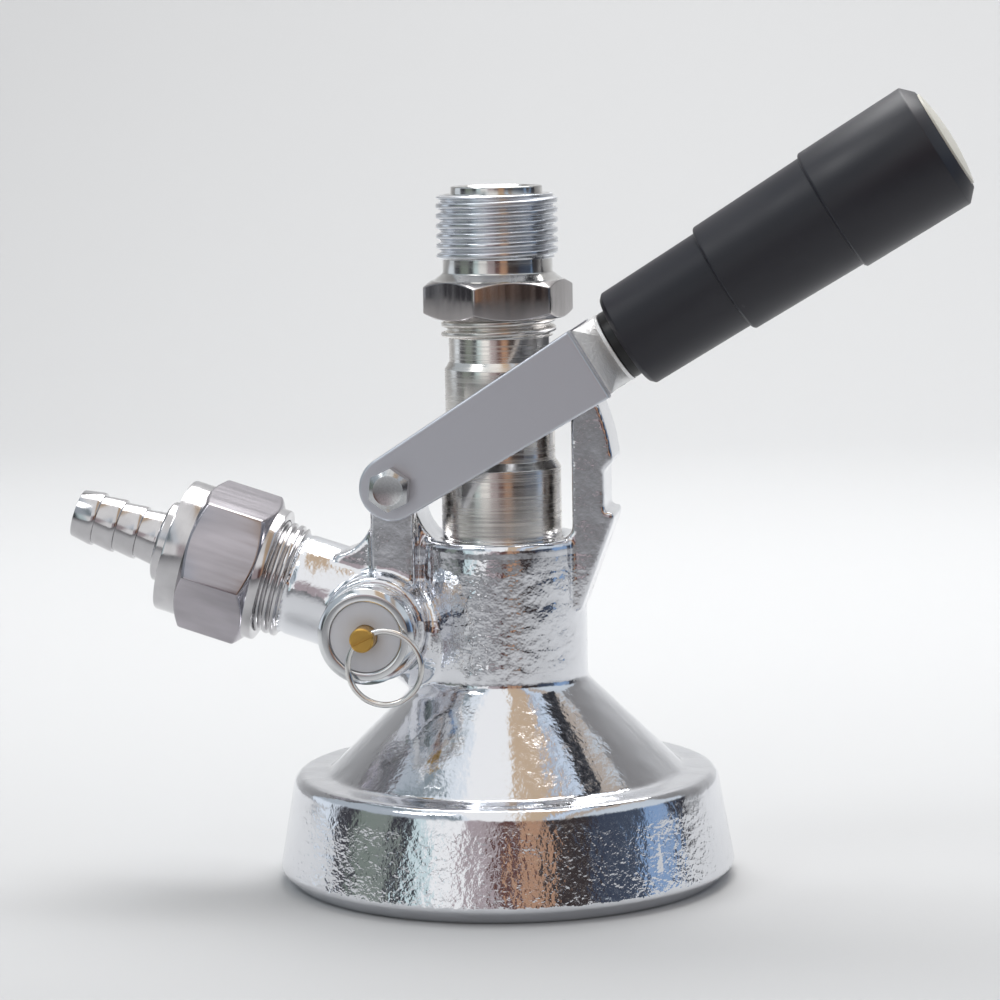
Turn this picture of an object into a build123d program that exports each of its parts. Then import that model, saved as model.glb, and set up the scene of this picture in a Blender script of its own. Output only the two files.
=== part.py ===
"""Keg coupler: a lever-operated tap head that locks on a beer keg.

The chromed body stands on its keg socket. A gas inlet with a union nut and a hose barb
points to -X, a relief valve faces -Y, and a toothed guard post rises on the +X side.
A forked lever turns on the body's ear and drives the hollow probe straight down through
the body. A sprung pawl, pulled by the handle grip, locks the lever in the guard's notch.
Origin: centre of the socket's bottom plane. +Z runs up the probe axis. Units: mm.
"""

import os
from math import asin, cos, radians, sin, sqrt

from build123d import *

os.makedirs("parts", exist_ok=True)

# ---- clearances ----
running = 0.05               # radial, shaft turning or sliding in its hole
seat = 0.02                  # radial, fixed piece in its seat
side_gap = 0.10              # axial, between faces that slide past each other

# ---- keg socket and body casting ----
rim_r = 39.3                 # flat foot ring, outer edge
foot_edge_round = 0.5
skirt_r = 42.1               # widest ring of the socket
skirt_z = 2.7
shoulder_r = 39.2            # top of the skirt wall
shoulder_z = 19.0
ledge_z = 20.1
cone_foot_r = 32.9
barrel_r = 15.4
barrel_foot_z = 37.2
barrel_top = 63.6
skirt_wall = 3.2             # at the shoulder
socket_r = shoulder_r - skirt_wall
socket_ceiling = 20.6
nose_r = 24.5                # plug that carries the lugs and the lower seal
nose_z = 4.6
lug_r = 29.0
lug_height = 4.2
lug_width = 17.0
seal_recess_r = 19.2
seal_recess_z = 8.8
chamber_r = 12.8             # gas space round the probe
chamber_top = 55.8
gland_z = 59.4               # middle of the upper ring seal
gland_height = 2.4
gland_depth = 1.35
oring_wire_r = 0.64
seal_bore_r = 11.8           # keg seal: its bore, and the rounded lip below the nose
seal_lip_z = 3.5
seal_lip_in_r = 13.4
seal_lip_out_r = 18.3

# ---- probe ----
probe_r = 11.0               # lower, larger guide diameter
probe_neck_r = 10.0          # upper diameter
probe_top_r = 9.15           # undercut below the thread
probe_thread_r = 10.5
probe_bore_r = 4.0
probe_tip_z = 11.4
probe_tip_r = 8.6
tip_groove_r = 6.3
tip_groove_foot = 1.4        # groove of the tip seal, from the probe's end, and its width
tip_groove_width = 3.0
tip_seal_r = 9.5
probe_low_end = 47.0         # bottom of the large guide diameter
probe_step_z = 76.6
probe_neck_top = 95.0
probe_undercut_top = 99.6
probe_end_z = 109.2

# ---- outlet adapter and check ball ----
adapter_z = 103.6            # bottom face of the hexagon
adapter_hex = 24.3           # across flats
adapter_hex_top = 110.6
adapter_flare_top = 112.0
adapter_relief_r = 10.0
adapter_thread_z = 114.8
beer_thread_r = 11.1
beer_thread_top = 125.2
adapter_top = 126.9
adapter_lip_r = 8.45
adapter_mouth_r = 7.3
adapter_bore_r = 6.2
adapter_turn = 12.0          # hexagon turned on the probe axis, degrees
ball_r = 4.75
ball_lift = 2.4
gasket_thick = 0.8

# ---- lever pivot and ear ----
pivot_x = -17.8
pivot_z = 74.0
lever_angle = 31.6           # raised lever above the horizontal, degrees
ear_half = 9.5
ear_head_x = -18.5
ear_head_r = 4.55
ear_left = -23.05
ear_right = -14.9
ear_shoulder = 6.5           # half width of the hollowed shoulders
shoulder_left_z = 67.5       # where the left hollow leaves the ear, and its reach along the neck
shoulder_left_reach = 7.0
shoulder_left_foot = 60.6
shoulder_left_round = 8.5
shoulder_right_z = 69.5      # where the right hollow leaves the ear, and where it meets the barrel
shoulder_right_foot_x = -11.9
shoulder_right_round = 9.0
ear_edge_round = 0.8
ear_rim_z = 62.0             # the rims are rounded above this height
bolt_r = 2.0
bolt_head = 6.9              # across flats
bolt_setback = 0.65          # from the flats to the edge of the round end face
bolt_head_thick = 3.6
bolt_nut_thick = 3.2
bolt_tip = 20.2              # end of the shank behind the nut, from the mid plane
spacer_r = 3.9

# ---- fork ----
fork_inner = 12.5            # half the gap between the arms
fork_outer = 16.0
fork_round_r = 5.95
fork_end_half = 7.0          # half height at the square end
fork_end = 42.3              # distances along the lever from the pivot
web_start = 40.5
web_end = 42.7
boss_start = 45.5
boss_end = 46.1
boss_r = 6.75
pin_reach = 19.1             # pivot to the drive pins
pin_r = 2.5
pin_tip = 8.0                # inner and outer ends of each drive pin, from the mid plane
pin_socket = 15.0
slot_tall = 5.8
slot_half = 4.8
slot_floor = 7.6

# ---- latch, grip and cap ----
pawl_r = 3.5
pawl_tip = 40.1
pawl_back = 43.7
rod_r = 2.5
rod_end = 109.6
collar_r = 6.7
collar_spigot_r = 4.9
spigot_start = 43.8
spring_seat = 52.0
collar_end = 53.4
spring_wire = 0.6
spring_mean_r = 3.02
grip_start = 48.2
grip_step_1 = 69.2
grip_step_2 = 92.1
grip_bevel = 113.8
grip_end = 115.9
grip_r = [(9.55, 9.8), (10.75, 11.2), (11.9, 12.15)]   # start and end of each stage
grip_face_r = 9.95
grip_mouth_r = 7.0
grip_mouth_end = 56.4
grip_nut_z = 104.0
grip_socket_r = 5.5
grip_nut_flats = 8.0
grip_nut_thick = 4.0
cap_seat = 113.6
cap_r = 9.3
cap_edge = 116.3
cap_crown = 117.3

# ---- guard post with the latch notch ----
post_inner = 13.8
post_outer = 19.7
post_top = 89.2
post_half = 6.9
hook_top = (18.9, 87.9)
hook_tip = (21.4, 77.8)
hook_root_z = 76.2
ledge_top_z = 68.4
ledge_tip = (21.5, 67.3)
rib_foot = (15.2, 50.6)

# ---- gas inlet ----
inlet_z = 42.0               # where the inlet axis meets the probe axis
inlet_rise = 17.8            # degrees above the horizontal, towards -X
neck_r = 9.6
neck_flare_r = 12.0
neck_flare_end = 24.0
inlet_thread_r = 10.6
inlet_thread_start = 41.4
inlet_face = 56.0            # end of the threaded neck
inlet_bore_r = 5.0           # check valve pocket
inlet_pocket = 46.0
inlet_way_r = 4.2
nut_start = 45.4
nut_hex_start = 49.1
nut_hex_end = 61.5
nut_end = 64.5
nut_flats = 25.4
nut_collar_r = 12.5
nut_turn = 38.5              # hexagon turned on the inlet axis, degrees
washer_thick = 1.5
flange_r = 10.3
flange_thick = 2.6
tail_r = 7.6
tail_end = 67.1
barb_end = 83.9
barb_pitch = 4.15
barb_root_r = 4.6
barb_crest_r = 5.05
barb_relief = 0.08           # the outer teeth stand this much lower, so a gauge ring slides on
barb_bore_r = 3.4

# ---- relief valve ----
valve_x = -21.85
valve_z = 48.1
valve_boss_r = 9.6
valve_boss_end = 15.5        # distances from the mid plane towards -Y
boss_edge_round = 0.6
valve_port_r = 3.8
housing_r = 8.75
housing_end = 23.6
housing_shank_r = 6.9
housing_shank = 9.5
housing_cavity_r = 5.4
disc_r = 6.45
disc_thick = 0.6
stem_r = 2.2
stem_end = 27.3
stem_slot = 0.8
poppet_r = 4.5
poppet_seat = 11.5
spring_shelf = 21.6
ring_hole_at = 25.5
ring_hole_r = 0.95
ring_mean_r = 6.65
ring_wire_r = 0.55
ring_angle = 36.5            # tangent of the ring at the stem, above +X, degrees
valve_spring_r = 3.7
valve_spring_wire = 0.8


def outline(points, plane=Plane.XZ):
    """Closed polygon on a plane; for turned pieces, one half of the section."""
    with BuildSketch(plane) as shape:
        with BuildLine():
            Polyline(*points, close=True)
        make_face()
    return shape.sketch


def save(piece, name):
    """Label a finished piece and write its STEP file."""
    piece.part.label = name
    export_step(piece.part, f"parts/{name}.step")


def ring(inner, outer, low, high):
    """Section of a plain ring: two radii and two stations along the axis."""
    return [(low, inner), (high, inner), (high, outer), (low, outer)]


def hexagon_limits(low, high, flats, low_cut=True, high_cut=True, setback=0.2):
    """Section that chamfers a hexagon at 30 degrees; the end face is a disc, set back from the flats."""
    corner = flats / 2 / cos(radians(30))
    inner = flats / 2 - setback
    drop = (corner - inner) * 0.577
    points = [(low, 0)]
    points += [(low, inner), (low + drop, corner)] if low_cut else [(low, corner + 1)]
    points += [(high - drop, corner), (high, inner)] if high_cut else [(high, corner + 1)]
    return points + [(high, 0)]


def coil(low, high, mean_r, wire, turns, origin, direction):
    """Compression spring: an eight-sided wire swept along a helix between two stations."""
    axis_plane = Plane(origin=origin, z_dir=direction)
    start = axis_plane.offset(low + wire / 2)
    path = start.location * Helix((high - low - wire) / turns, high - low - wire, mean_r)
    with BuildPart() as spring:
        with BuildSketch(Plane(origin=path @ 0, z_dir=path % 0)):
            RegularPolygon(wire / 2, 8)
        sweep(path=path, is_frenet=True)
    return spring


# ---- local frames ----
inlet_dir = Vector(-cos(radians(inlet_rise)), 0, sin(radians(inlet_rise)))
inlet_origin = (0, 0, inlet_z)
inlet_side = Plane(origin=inlet_origin, x_dir=inlet_dir, z_dir=(0, -1, 0))
inlet_face_plane = Plane(origin=inlet_origin, x_dir=(0, 1, 0), z_dir=inlet_dir)
inlet_axis = Axis(inlet_origin, inlet_dir)

lever_dir = Vector(cos(radians(lever_angle)), 0, sin(radians(lever_angle)))
pivot = (pivot_x, 0, pivot_z)
lever_side = Plane(origin=pivot, x_dir=lever_dir, z_dir=(0, -1, 0))
lever_face = Plane(origin=pivot, x_dir=(0, 1, 0), z_dir=lever_dir)
lever_axis = Axis(pivot, lever_dir)

valve_origin = (valve_x, 0, valve_z)
valve_side = Plane(origin=valve_origin, x_dir=(0, -1, 0), z_dir=(1, 0, 0))
valve_face = Plane(origin=valve_origin, x_dir=(1, 0, 0), z_dir=(0, -1, 0))
valve_axis = Axis(valve_origin, (0, -1, 0))

bolt_side = Plane(origin=pivot, x_dir=(0, -1, 0), z_dir=(1, 0, 0))
bolt_face = Plane(origin=pivot, x_dir=(1, 0, 0), z_dir=(0, -1, 0))
bolt_axis = Axis(pivot, (0, -1, 0))

# ---- body casting: socket skirt, cone and barrel turned about Z ----
with BuildPart() as coupler_body:
    revolve(outline([
        (0, 0), (rim_r, 0), (skirt_r, skirt_z), (shoulder_r, shoulder_z), (shoulder_r - 1.2, ledge_z),
        (cone_foot_r, ledge_z), (barrel_r, barrel_foot_z), (barrel_r, barrel_top), (0, barrel_top),
    ]), axis=Axis.Z)
    rings = coupler_body.edges().filter_by(GeomType.CIRCLE)
    fillet(rings.filter_by(lambda e: abs(e.radius - shoulder_r) < 0.01), 1.6)
    rings = coupler_body.edges().filter_by(GeomType.CIRCLE)
    fillet(rings.filter_by(lambda e: abs(e.radius - cone_foot_r) < 0.01), 1.4)
    rings = coupler_body.edges().filter_by(GeomType.CIRCLE)
    fillet(rings.filter_by(lambda e: abs(e.center().Z - barrel_foot_z) < 0.01), 2.0)
    fillet(coupler_body.edges().filter_by(GeomType.CIRCLE).sort_by(Axis.Z)[-1], 1.2)

    # gas inlet neck, flared where it leaves the barrel, with its threaded end
    revolve(outline([
        (8, 0), (8, neck_flare_r), (14.5, neck_flare_r), (18.0, neck_r + 1.1), (neck_flare_end, neck_r),
        (inlet_thread_start - 1.2, neck_r), (inlet_thread_start - 0.9, neck_r - 0.4),
        (inlet_thread_start - 0.2, neck_r - 0.4), (inlet_thread_start + 0.6, inlet_thread_r),
        (inlet_face - 0.7, inlet_thread_r), (inlet_face, inlet_thread_r - 0.7), (inlet_face, 0),
    ], inlet_side), axis=inlet_axis)

    # relief valve boss
    with BuildSketch(valve_face):
        Circle(valve_boss_r)
    extrude(amount=valve_boss_end)

    # ear that carries the lever pivot, with hollowed shoulders to the neck and the barrel
    with BuildSketch(Plane.XZ.offset(-ear_half)):
        with BuildLine():
            Polyline((ear_left, 50), (ear_left, pivot_z), (ear_right, pivot_z), (ear_right, 50), close=True)
        make_face()
        with Locations((ear_head_x, pivot_z)):
            Circle(ear_head_r)
    extrude(amount=2 * ear_half)
    with BuildSketch(Plane.XZ.offset(-ear_shoulder)):
        with BuildLine():
            foot = (ear_left - shoulder_left_reach, shoulder_left_foot)
            Polyline((ear_left, shoulder_left_z), (ear_left, foot[1] - 4.6), (foot[0], foot[1] - 4.6), foot)
            RadiusArc(foot, (ear_left, shoulder_left_z), -shoulder_left_round)
        make_face()
        with BuildLine():
            foot = (shoulder_right_foot_x, barrel_top)
            Polyline((ear_right, shoulder_right_z), (ear_right, foot[1] - 3.6), (foot[0], foot[1] - 3.6), foot)
            RadiusArc(foot, (ear_right, shoulder_right_z), shoulder_right_round)
        make_face()
    extrude(amount=2 * ear_shoulder)

    # cast edges: the ear's rims, the valve boss and the foot ring are rounded
    edges = coupler_body.edges().filter_by(lambda e: abs(abs(e.center().Y) - ear_half) < 0.01)
    fillet(edges.filter_by(lambda e: e.center().X < ear_right + 1 and e.center().Z > ear_rim_z), ear_edge_round)
    fillet(coupler_body.edges().filter_by(lambda e: abs(e.center().Y + valve_boss_end) < 0.01), boss_edge_round)
    rings = coupler_body.edges().filter_by(GeomType.CIRCLE)
    fillet(rings.filter_by(lambda e: abs(e.radius - rim_r) < 0.01), foot_edge_round)

    # guard post with the latch hook, the notch and its ledge
    with BuildSketch(Plane.XZ.offset(-post_half)) as post:
        with BuildLine():
            Polyline(hook_top, (hook_top[0] - 0.9, post_top), (post_inner, post_top), (post_inner, barrel_top),
                     (11.4, barrel_top), (11.4, rib_foot[1]), rib_foot, ledge_tip,
                     (ledge_tip[0] - 0.2, ledge_top_z), (post_outer, ledge_top_z),
                     (post_outer, hook_root_z), hook_tip)
            RadiusArc(hook_tip, hook_top, -39.3)
        make_face()
        fillet(post.vertices().sort_by_distance((post_inner, barrel_top))[0], 2.4)
        fillet(post.vertices().sort_by_distance((post_outer, ledge_top_z))[0], 0.8)
        fillet(post.vertices().sort_by_distance((post_outer, hook_root_z))[0], 0.8)
    extrude(amount=2 * post_half)

    # keg socket: annular space between the skirt and the nose
    revolve(outline([
        (nose_r, -1), (socket_r + 0.8, -1), (socket_r + 0.8, 0), (socket_r, 0.8), (socket_r, 14.4),
        (socket_r - 2.2, 16.8), (nose_r + 3.4, socket_ceiling), (nose_r, socket_ceiling),
    ]), axis=Axis.Z, mode=Mode.SUBTRACT)
    with BuildSketch(Plane.XY.offset(-1)):
        Circle(nose_r + 0.01)
    extrude(amount=nose_z + 1, mode=Mode.SUBTRACT)
    with BuildSketch(Plane.XY.offset(nose_z)):
        Circle(lug_r)
        Circle(nose_r - 0.6, mode=Mode.SUBTRACT)
        Rectangle(2 * lug_r + 2, lug_width, mode=Mode.INTERSECT)
    extrude(amount=lug_height)

    # seal recess, gas chamber, gland and probe bore
    revolve(outline([
        (0, -1), (seal_recess_r, -1), (seal_recess_r, seal_recess_z), (chamber_r, seal_recess_z),
        (chamber_r, chamber_top), (probe_r + running, chamber_top + 1.6),
        (probe_r + running, gland_z - gland_height / 2), (probe_r + gland_depth, gland_z - gland_height / 2),
        (probe_r + gland_depth, gland_z + gland_height / 2), (probe_r + running, gland_z + gland_height / 2),
        (probe_r + running, barrel_top - 0.6), (probe_r + running + 0.6, barrel_top),
        (probe_r + running + 0.6, barrel_top + 1), (0, barrel_top + 1),
    ]), axis=Axis.Z, mode=Mode.SUBTRACT)

    # gas way from the inlet to the chamber, with the check valve pocket at its mouth
    with BuildSketch(inlet_face_plane.offset(8)):
        Circle(inlet_way_r)
    extrude(amount=inlet_face - 7, mode=Mode.SUBTRACT)
    with BuildSketch(inlet_face_plane.offset(inlet_pocket)):
        Circle(inlet_bore_r)
    extrude(amount=inlet_face - inlet_pocket + 1, mode=Mode.SUBTRACT)

    # relief valve port and the seat of its housing
    with BuildSketch(valve_face):
        Circle(valve_port_r)
    extrude(amount=valve_boss_end, mode=Mode.SUBTRACT)
    with BuildSketch(valve_face.offset(housing_shank - side_gap)):
        Circle(housing_shank_r + seat)
    extrude(amount=valve_boss_end, mode=Mode.SUBTRACT)

    # pivot hole through the ear
    with BuildSketch(bolt_face.offset(-ear_half - 1)):
        Circle(bolt_r + seat)
    extrude(amount=2 * ear_half + 2, mode=Mode.SUBTRACT)
save(coupler_body, "coupler_body")

# ---- seals of the body ----
with BuildPart() as body_seal:
    revolve(outline([
        (seal_bore_r, seal_recess_z - seat), (seal_recess_r - running, seal_recess_z - seat),
        (seal_recess_r - running, nose_z), (seal_lip_out_r, seal_lip_z), (seal_lip_in_r, seal_lip_z),
        (seal_bore_r, seal_lip_z + seal_lip_in_r - seal_bore_r),
    ]), axis=Axis.Z)
save(body_seal, "body_seal")

with BuildPart() as gland_oring:
    with BuildSketch(Plane.XZ):
        with Locations((probe_r + gland_depth - oring_wire_r - 0.02, gland_z)):
            RegularPolygon(oring_wire_r, 10)
    revolve(axis=Axis.Z)
save(gland_oring, "gland_oring")

# ---- lever pivot: bolt, nut and spacers ----
with BuildPart() as pivot_bolt:
    with BuildSketch(bolt_face.offset(fork_outer + side_gap)):
        RegularPolygon(bolt_head / 2, 6, major_radius=False, rotation=30)
    extrude(amount=bolt_head_thick)
    section = hexagon_limits(fork_outer + side_gap, fork_outer + side_gap + bolt_head_thick,
                             bolt_head, low_cut=False, setback=bolt_setback)
    revolve(outline(section, bolt_side), axis=bolt_axis, mode=Mode.INTERSECT)
    with BuildSketch(bolt_face.offset(-bolt_tip)):
        Circle(bolt_r)
    extrude(amount=bolt_tip + fork_outer + 1)
save(pivot_bolt, "pivot_bolt")

with BuildPart() as pivot_nut:
    with BuildSketch(bolt_face.offset(-fork_outer - side_gap - bolt_nut_thick)):
        RegularPolygon(bolt_head / 2, 6, major_radius=False, rotation=30)
    extrude(amount=bolt_nut_thick)
    section = hexagon_limits(-fork_outer - side_gap - bolt_nut_thick, -fork_outer - side_gap,
                             bolt_head, high_cut=False, setback=bolt_setback)
    revolve(outline(section, bolt_side), axis=bolt_axis, mode=Mode.INTERSECT)
    with BuildSketch(bolt_face.offset(-fork_outer - bolt_nut_thick - 1)):
        Circle(bolt_r + seat)
    extrude(amount=bolt_nut_thick + 2, mode=Mode.SUBTRACT)
save(pivot_nut, "pivot_nut")

with BuildPart() as pivot_spacers:
    for low in (ear_half + seat, -fork_inner + side_gap):
        with BuildSketch(bolt_face.offset(low)):
            Circle(spacer_r)
            Circle(bolt_r + seat, mode=Mode.SUBTRACT)
        extrude(amount=fork_inner - ear_half - side_gap - seat)
save(pivot_spacers, "pivot_spacers")

# ---- gas inlet: washer, check valve, tailpiece and union nut ----
with BuildPart() as inlet_washer:
    revolve(outline(ring(3.7, inlet_thread_r - 0.7, inlet_face + 0.01, inlet_face + washer_thick), inlet_side),
            axis=inlet_axis)
save(inlet_washer, "inlet_washer")

with BuildPart() as inlet_check_valve:
    revolve(outline([
        (inlet_face, inlet_bore_r - seat), (inlet_face - 3.2, inlet_bore_r - seat),
        (inlet_pocket + 0.9, 1.3), (inlet_pocket + 0.4, 1.3), (inlet_pocket + 0.4, 0.35),
        (inlet_pocket + 1.2, 0.35), (inlet_face - 2.6, 3.6), (inlet_face, 3.6),
    ], inlet_side), axis=inlet_axis)
save(inlet_check_valve, "inlet_check_valve")

tail_start = inlet_face + washer_thick + seat
with BuildPart() as hose_barb:
    teeth = [(tail_end - 0.5, tail_r), (tail_end, tail_r - 0.5), (tail_end, barb_crest_r),
             (tail_end + barb_pitch - 0.3, barb_crest_r), (tail_end + barb_pitch, barb_root_r)]
    for tooth in range(1, 4):
        station = tail_end + tooth * barb_pitch
        teeth.append((station, barb_crest_r - barb_relief))
        teeth.append((station + 0.7, barb_crest_r - barb_relief))
        teeth.append((station + barb_pitch if tooth < 3 else barb_end, barb_root_r))
    revolve(outline([
        (tail_start, barb_bore_r), (tail_start, flange_r), (tail_start + flange_thick, flange_r),
        (tail_start + flange_thick, tail_r),
    ] + teeth + [(barb_end, barb_bore_r)], inlet_side), axis=inlet_axis)
save(hose_barb, "hose_barb")

with BuildPart() as inlet_nut:
    with BuildSketch(inlet_face_plane.offset(nut_hex_start)):
        RegularPolygon(nut_flats / 2, 6, major_radius=False, rotation=nut_turn)
    extrude(amount=nut_hex_end - nut_hex_start)
    revolve(outline(hexagon_limits(nut_hex_start, nut_hex_end, nut_flats), inlet_side),
            axis=inlet_axis, mode=Mode.INTERSECT)
    revolve(outline([
        (nut_start, 0), (nut_start, nut_collar_r - 0.5), (nut_start + 0.5, nut_collar_r),
        (nut_end - 0.8, nut_collar_r), (nut_end, nut_collar_r - 0.8), (nut_end, 0),
    ], inlet_side), axis=inlet_axis)
    revolve(outline([
        (nut_start - 1, 0), (nut_start - 1, inlet_thread_r + running),
        (tail_start + flange_thick + side_gap, inlet_thread_r + running),
        (tail_start + flange_thick + side_gap, tail_r + running), (nut_end + 1, tail_r + running), (nut_end + 1, 0),
    ], inlet_side), axis=inlet_axis, mode=Mode.SUBTRACT)
save(inlet_nut, "inlet_nut")

# ---- relief valve ----
with BuildPart() as valve_housing:
    revolve(outline([
        (housing_shank, valve_port_r - 0.9), (housing_shank, housing_shank_r),
        (valve_boss_end + 0.02, housing_shank_r), (valve_boss_end + 0.02, housing_r - 0.5),
        (valve_boss_end + 0.5, housing_r), (housing_end - 0.9, housing_r), (housing_end, housing_r - 0.9),
        (housing_end, disc_r + 0.8), (housing_end - 0.35, disc_r + running),
        (housing_end - 0.7 - disc_thick, disc_r + running), (housing_end - 0.7 - disc_thick, stem_r + running),
        (spring_shelf, stem_r + running), (spring_shelf, housing_cavity_r),
        (poppet_seat, housing_cavity_r), (poppet_seat, valve_port_r - 0.9),
    ], valve_side), axis=valve_axis)
save(valve_housing, "valve_housing")

with BuildPart() as valve_disc:
    revolve(outline(ring(stem_r + running, disc_r, housing_end - 0.7 - disc_thick + seat, housing_end - 0.7),
                    valve_side), axis=valve_axis)
save(valve_disc, "valve_disc")

with BuildPart() as valve_poppet:
    revolve(outline([
        (poppet_seat + seat, 0), (poppet_seat + seat, poppet_r), (poppet_seat + 1.4, poppet_r),
        (poppet_seat + 1.4, 0),
    ], valve_side), axis=valve_axis)
save(valve_poppet, "valve_poppet")

ring_hole = Vector(valve_x, -ring_hole_at, valve_z)
ring_tangent = Vector(cos(radians(ring_angle)), 0, sin(radians(ring_angle)))
with BuildPart() as valve_stem:
    revolve(outline([
        (poppet_seat + 1.42, 0), (poppet_seat + 1.42, poppet_r - 0.2), (poppet_seat + 2.5, poppet_r - 0.2),
        (poppet_seat + 2.5, stem_r), (stem_end - 0.4, stem_r), (stem_end, stem_r - 0.4), (stem_end, 0),
    ], valve_side), axis=valve_axis)
    with BuildSketch(valve_face.offset(stem_end - 0.8)):
        Rectangle(2 * stem_r + 2, stem_slot, rotation=-25)
    extrude(amount=2, mode=Mode.SUBTRACT)
    with BuildSketch(Plane(origin=ring_hole - ring_tangent * 5, z_dir=ring_tangent)):
        Circle(ring_hole_r)
    extrude(amount=10, mode=Mode.SUBTRACT)
save(valve_stem, "valve_stem")

valve_spring = coil(poppet_seat + 2.55, spring_shelf - 0.05, valve_spring_r, valve_spring_wire, 4,
                    valve_origin, (0, -1, 0))
save(valve_spring, "valve_spring")

# the ring hangs from the stem; its wire crosses the hole along the ring's tangent
ring_drop = Vector(sin(radians(ring_angle)), 0, -cos(radians(ring_angle)))
with BuildPart() as pull_ring:
    ring_centre = ring_hole + ring_drop * (ring_mean_r - 0.2)
    with BuildSketch(Plane(origin=ring_centre, x_dir=ring_drop, z_dir=ring_tangent)):
        with Locations((ring_mean_r, 0)):
            RegularPolygon(ring_wire_r, 12)
    revolve(axis=Axis(ring_centre, (0, 1, 0)))
save(pull_ring, "pull_ring")

# ---- probe, its seal, and the outlet ----
pin_rest_z = pivot_z + pin_reach * sin(radians(lever_angle))
groove_low = probe_tip_z + tip_groove_foot
groove_high = groove_low + tip_groove_width
with BuildPart() as probe:
    revolve(outline([
        (probe_bore_r, probe_tip_z), (probe_tip_r - 1.2, probe_tip_z), (probe_tip_r, probe_tip_z + 1.0),
        (probe_tip_r, groove_low), (tip_groove_r, groove_low), (tip_groove_r, groove_high),
        (probe_tip_r, groove_high),
        (probe_tip_r, probe_low_end - 2.2), (probe_r, probe_low_end), (probe_r, probe_step_z),
        (probe_neck_r, probe_step_z + 1.3), (probe_neck_r, probe_neck_top - 0.6),
        (probe_top_r, probe_neck_top + 0.8), (probe_top_r, probe_undercut_top),
        (probe_thread_r, probe_undercut_top + 0.9), (probe_thread_r, probe_end_z - 0.6),
        (probe_thread_r - 0.6, probe_end_z), (probe_bore_r, probe_end_z),
    ]), axis=Axis.Z)
    with BuildSketch(Plane.XY.offset(pin_rest_z + 0.1 - slot_tall / 2)):
        with Locations((0, slot_floor + probe_r / 2), (0, -slot_floor - probe_r / 2)):
            Rectangle(2 * slot_half, probe_r)
    extrude(amount=slot_tall, mode=Mode.SUBTRACT)
save(probe, "probe")

with BuildPart() as probe_seal:
    revolve(outline([
        (tip_groove_r + seat, groove_low + seat), (tip_seal_r - 0.5, groove_low + seat),
        (tip_seal_r, groove_low + tip_groove_width * 0.3), (tip_seal_r, groove_high - tip_groove_width * 0.3),
        (tip_seal_r - 0.5, groove_high - seat), (tip_groove_r + seat, groove_high - seat),
    ]), axis=Axis.Z)
save(probe_seal, "probe_seal")

thread_roof = probe_end_z + gasket_thick
with BuildPart() as outlet_gasket:
    revolve(outline([
        (adapter_bore_r, probe_end_z), (probe_thread_r - 0.7, probe_end_z),
        (probe_thread_r - 0.7, thread_roof), (adapter_bore_r, thread_roof),
    ]), axis=Axis.Z)
save(outlet_gasket, "outlet_gasket")

with BuildPart() as outlet_adapter:
    with BuildSketch(Plane.XY.offset(adapter_z)):
        RegularPolygon(adapter_hex / 2, 6, major_radius=False, rotation=adapter_turn)
    extrude(amount=adapter_hex_top - adapter_z)
    section = hexagon_limits(adapter_z, adapter_hex_top, adapter_hex)
    revolve(outline([(radius, height) for height, radius in section]), axis=Axis.Z, mode=Mode.INTERSECT)
    revolve(outline([
        (0, adapter_hex_top - 1), (adapter_hex / 2 - 0.4, adapter_hex_top - 1),
        (adapter_hex / 2 - 0.4, adapter_hex_top), (adapter_relief_r, adapter_flare_top),
        (adapter_relief_r, adapter_thread_z - 0.6), (beer_thread_r, adapter_thread_z + 0.3),
        (beer_thread_r, beer_thread_top), (adapter_lip_r, adapter_top), (0, adapter_top),
    ]), axis=Axis.Z)
    revolve(outline([
        (0, adapter_z - 1), (probe_thread_r + running + 0.6, adapter_z - 1),
        (probe_thread_r + running + 0.6, adapter_z), (probe_thread_r + running, adapter_z + 0.6),
        (probe_thread_r + running, thread_roof), (adapter_bore_r, thread_roof),
        (adapter_bore_r, adapter_top - 3.6), (adapter_mouth_r, adapter_top), (adapter_mouth_r, adapter_top + 1),
        (0, adapter_top + 1),
    ]), axis=Axis.Z, mode=Mode.SUBTRACT)
save(outlet_adapter, "outlet_adapter")

ball_rest_z = probe_end_z + sqrt(ball_r ** 2 - probe_bore_r ** 2) + seat
with BuildPart() as check_ball:
    with Locations((0, 0, ball_rest_z)):
        Sphere(ball_r)
save(check_ball, "check_ball")

retainer_z = ball_rest_z + ball_r + ball_lift + side_gap
with BuildPart() as ball_retainer:
    with BuildSketch(Plane.XY.offset(retainer_z)):
        Circle(adapter_bore_r - seat)
        Circle(adapter_bore_r - 1.1, mode=Mode.SUBTRACT)
        Rectangle(2 * adapter_bore_r - 1.4, 1.3)
        Rectangle(1.3, 2 * adapter_bore_r - 1.4)
    extrude(amount=1.3)
save(ball_retainer, "ball_retainer")

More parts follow.
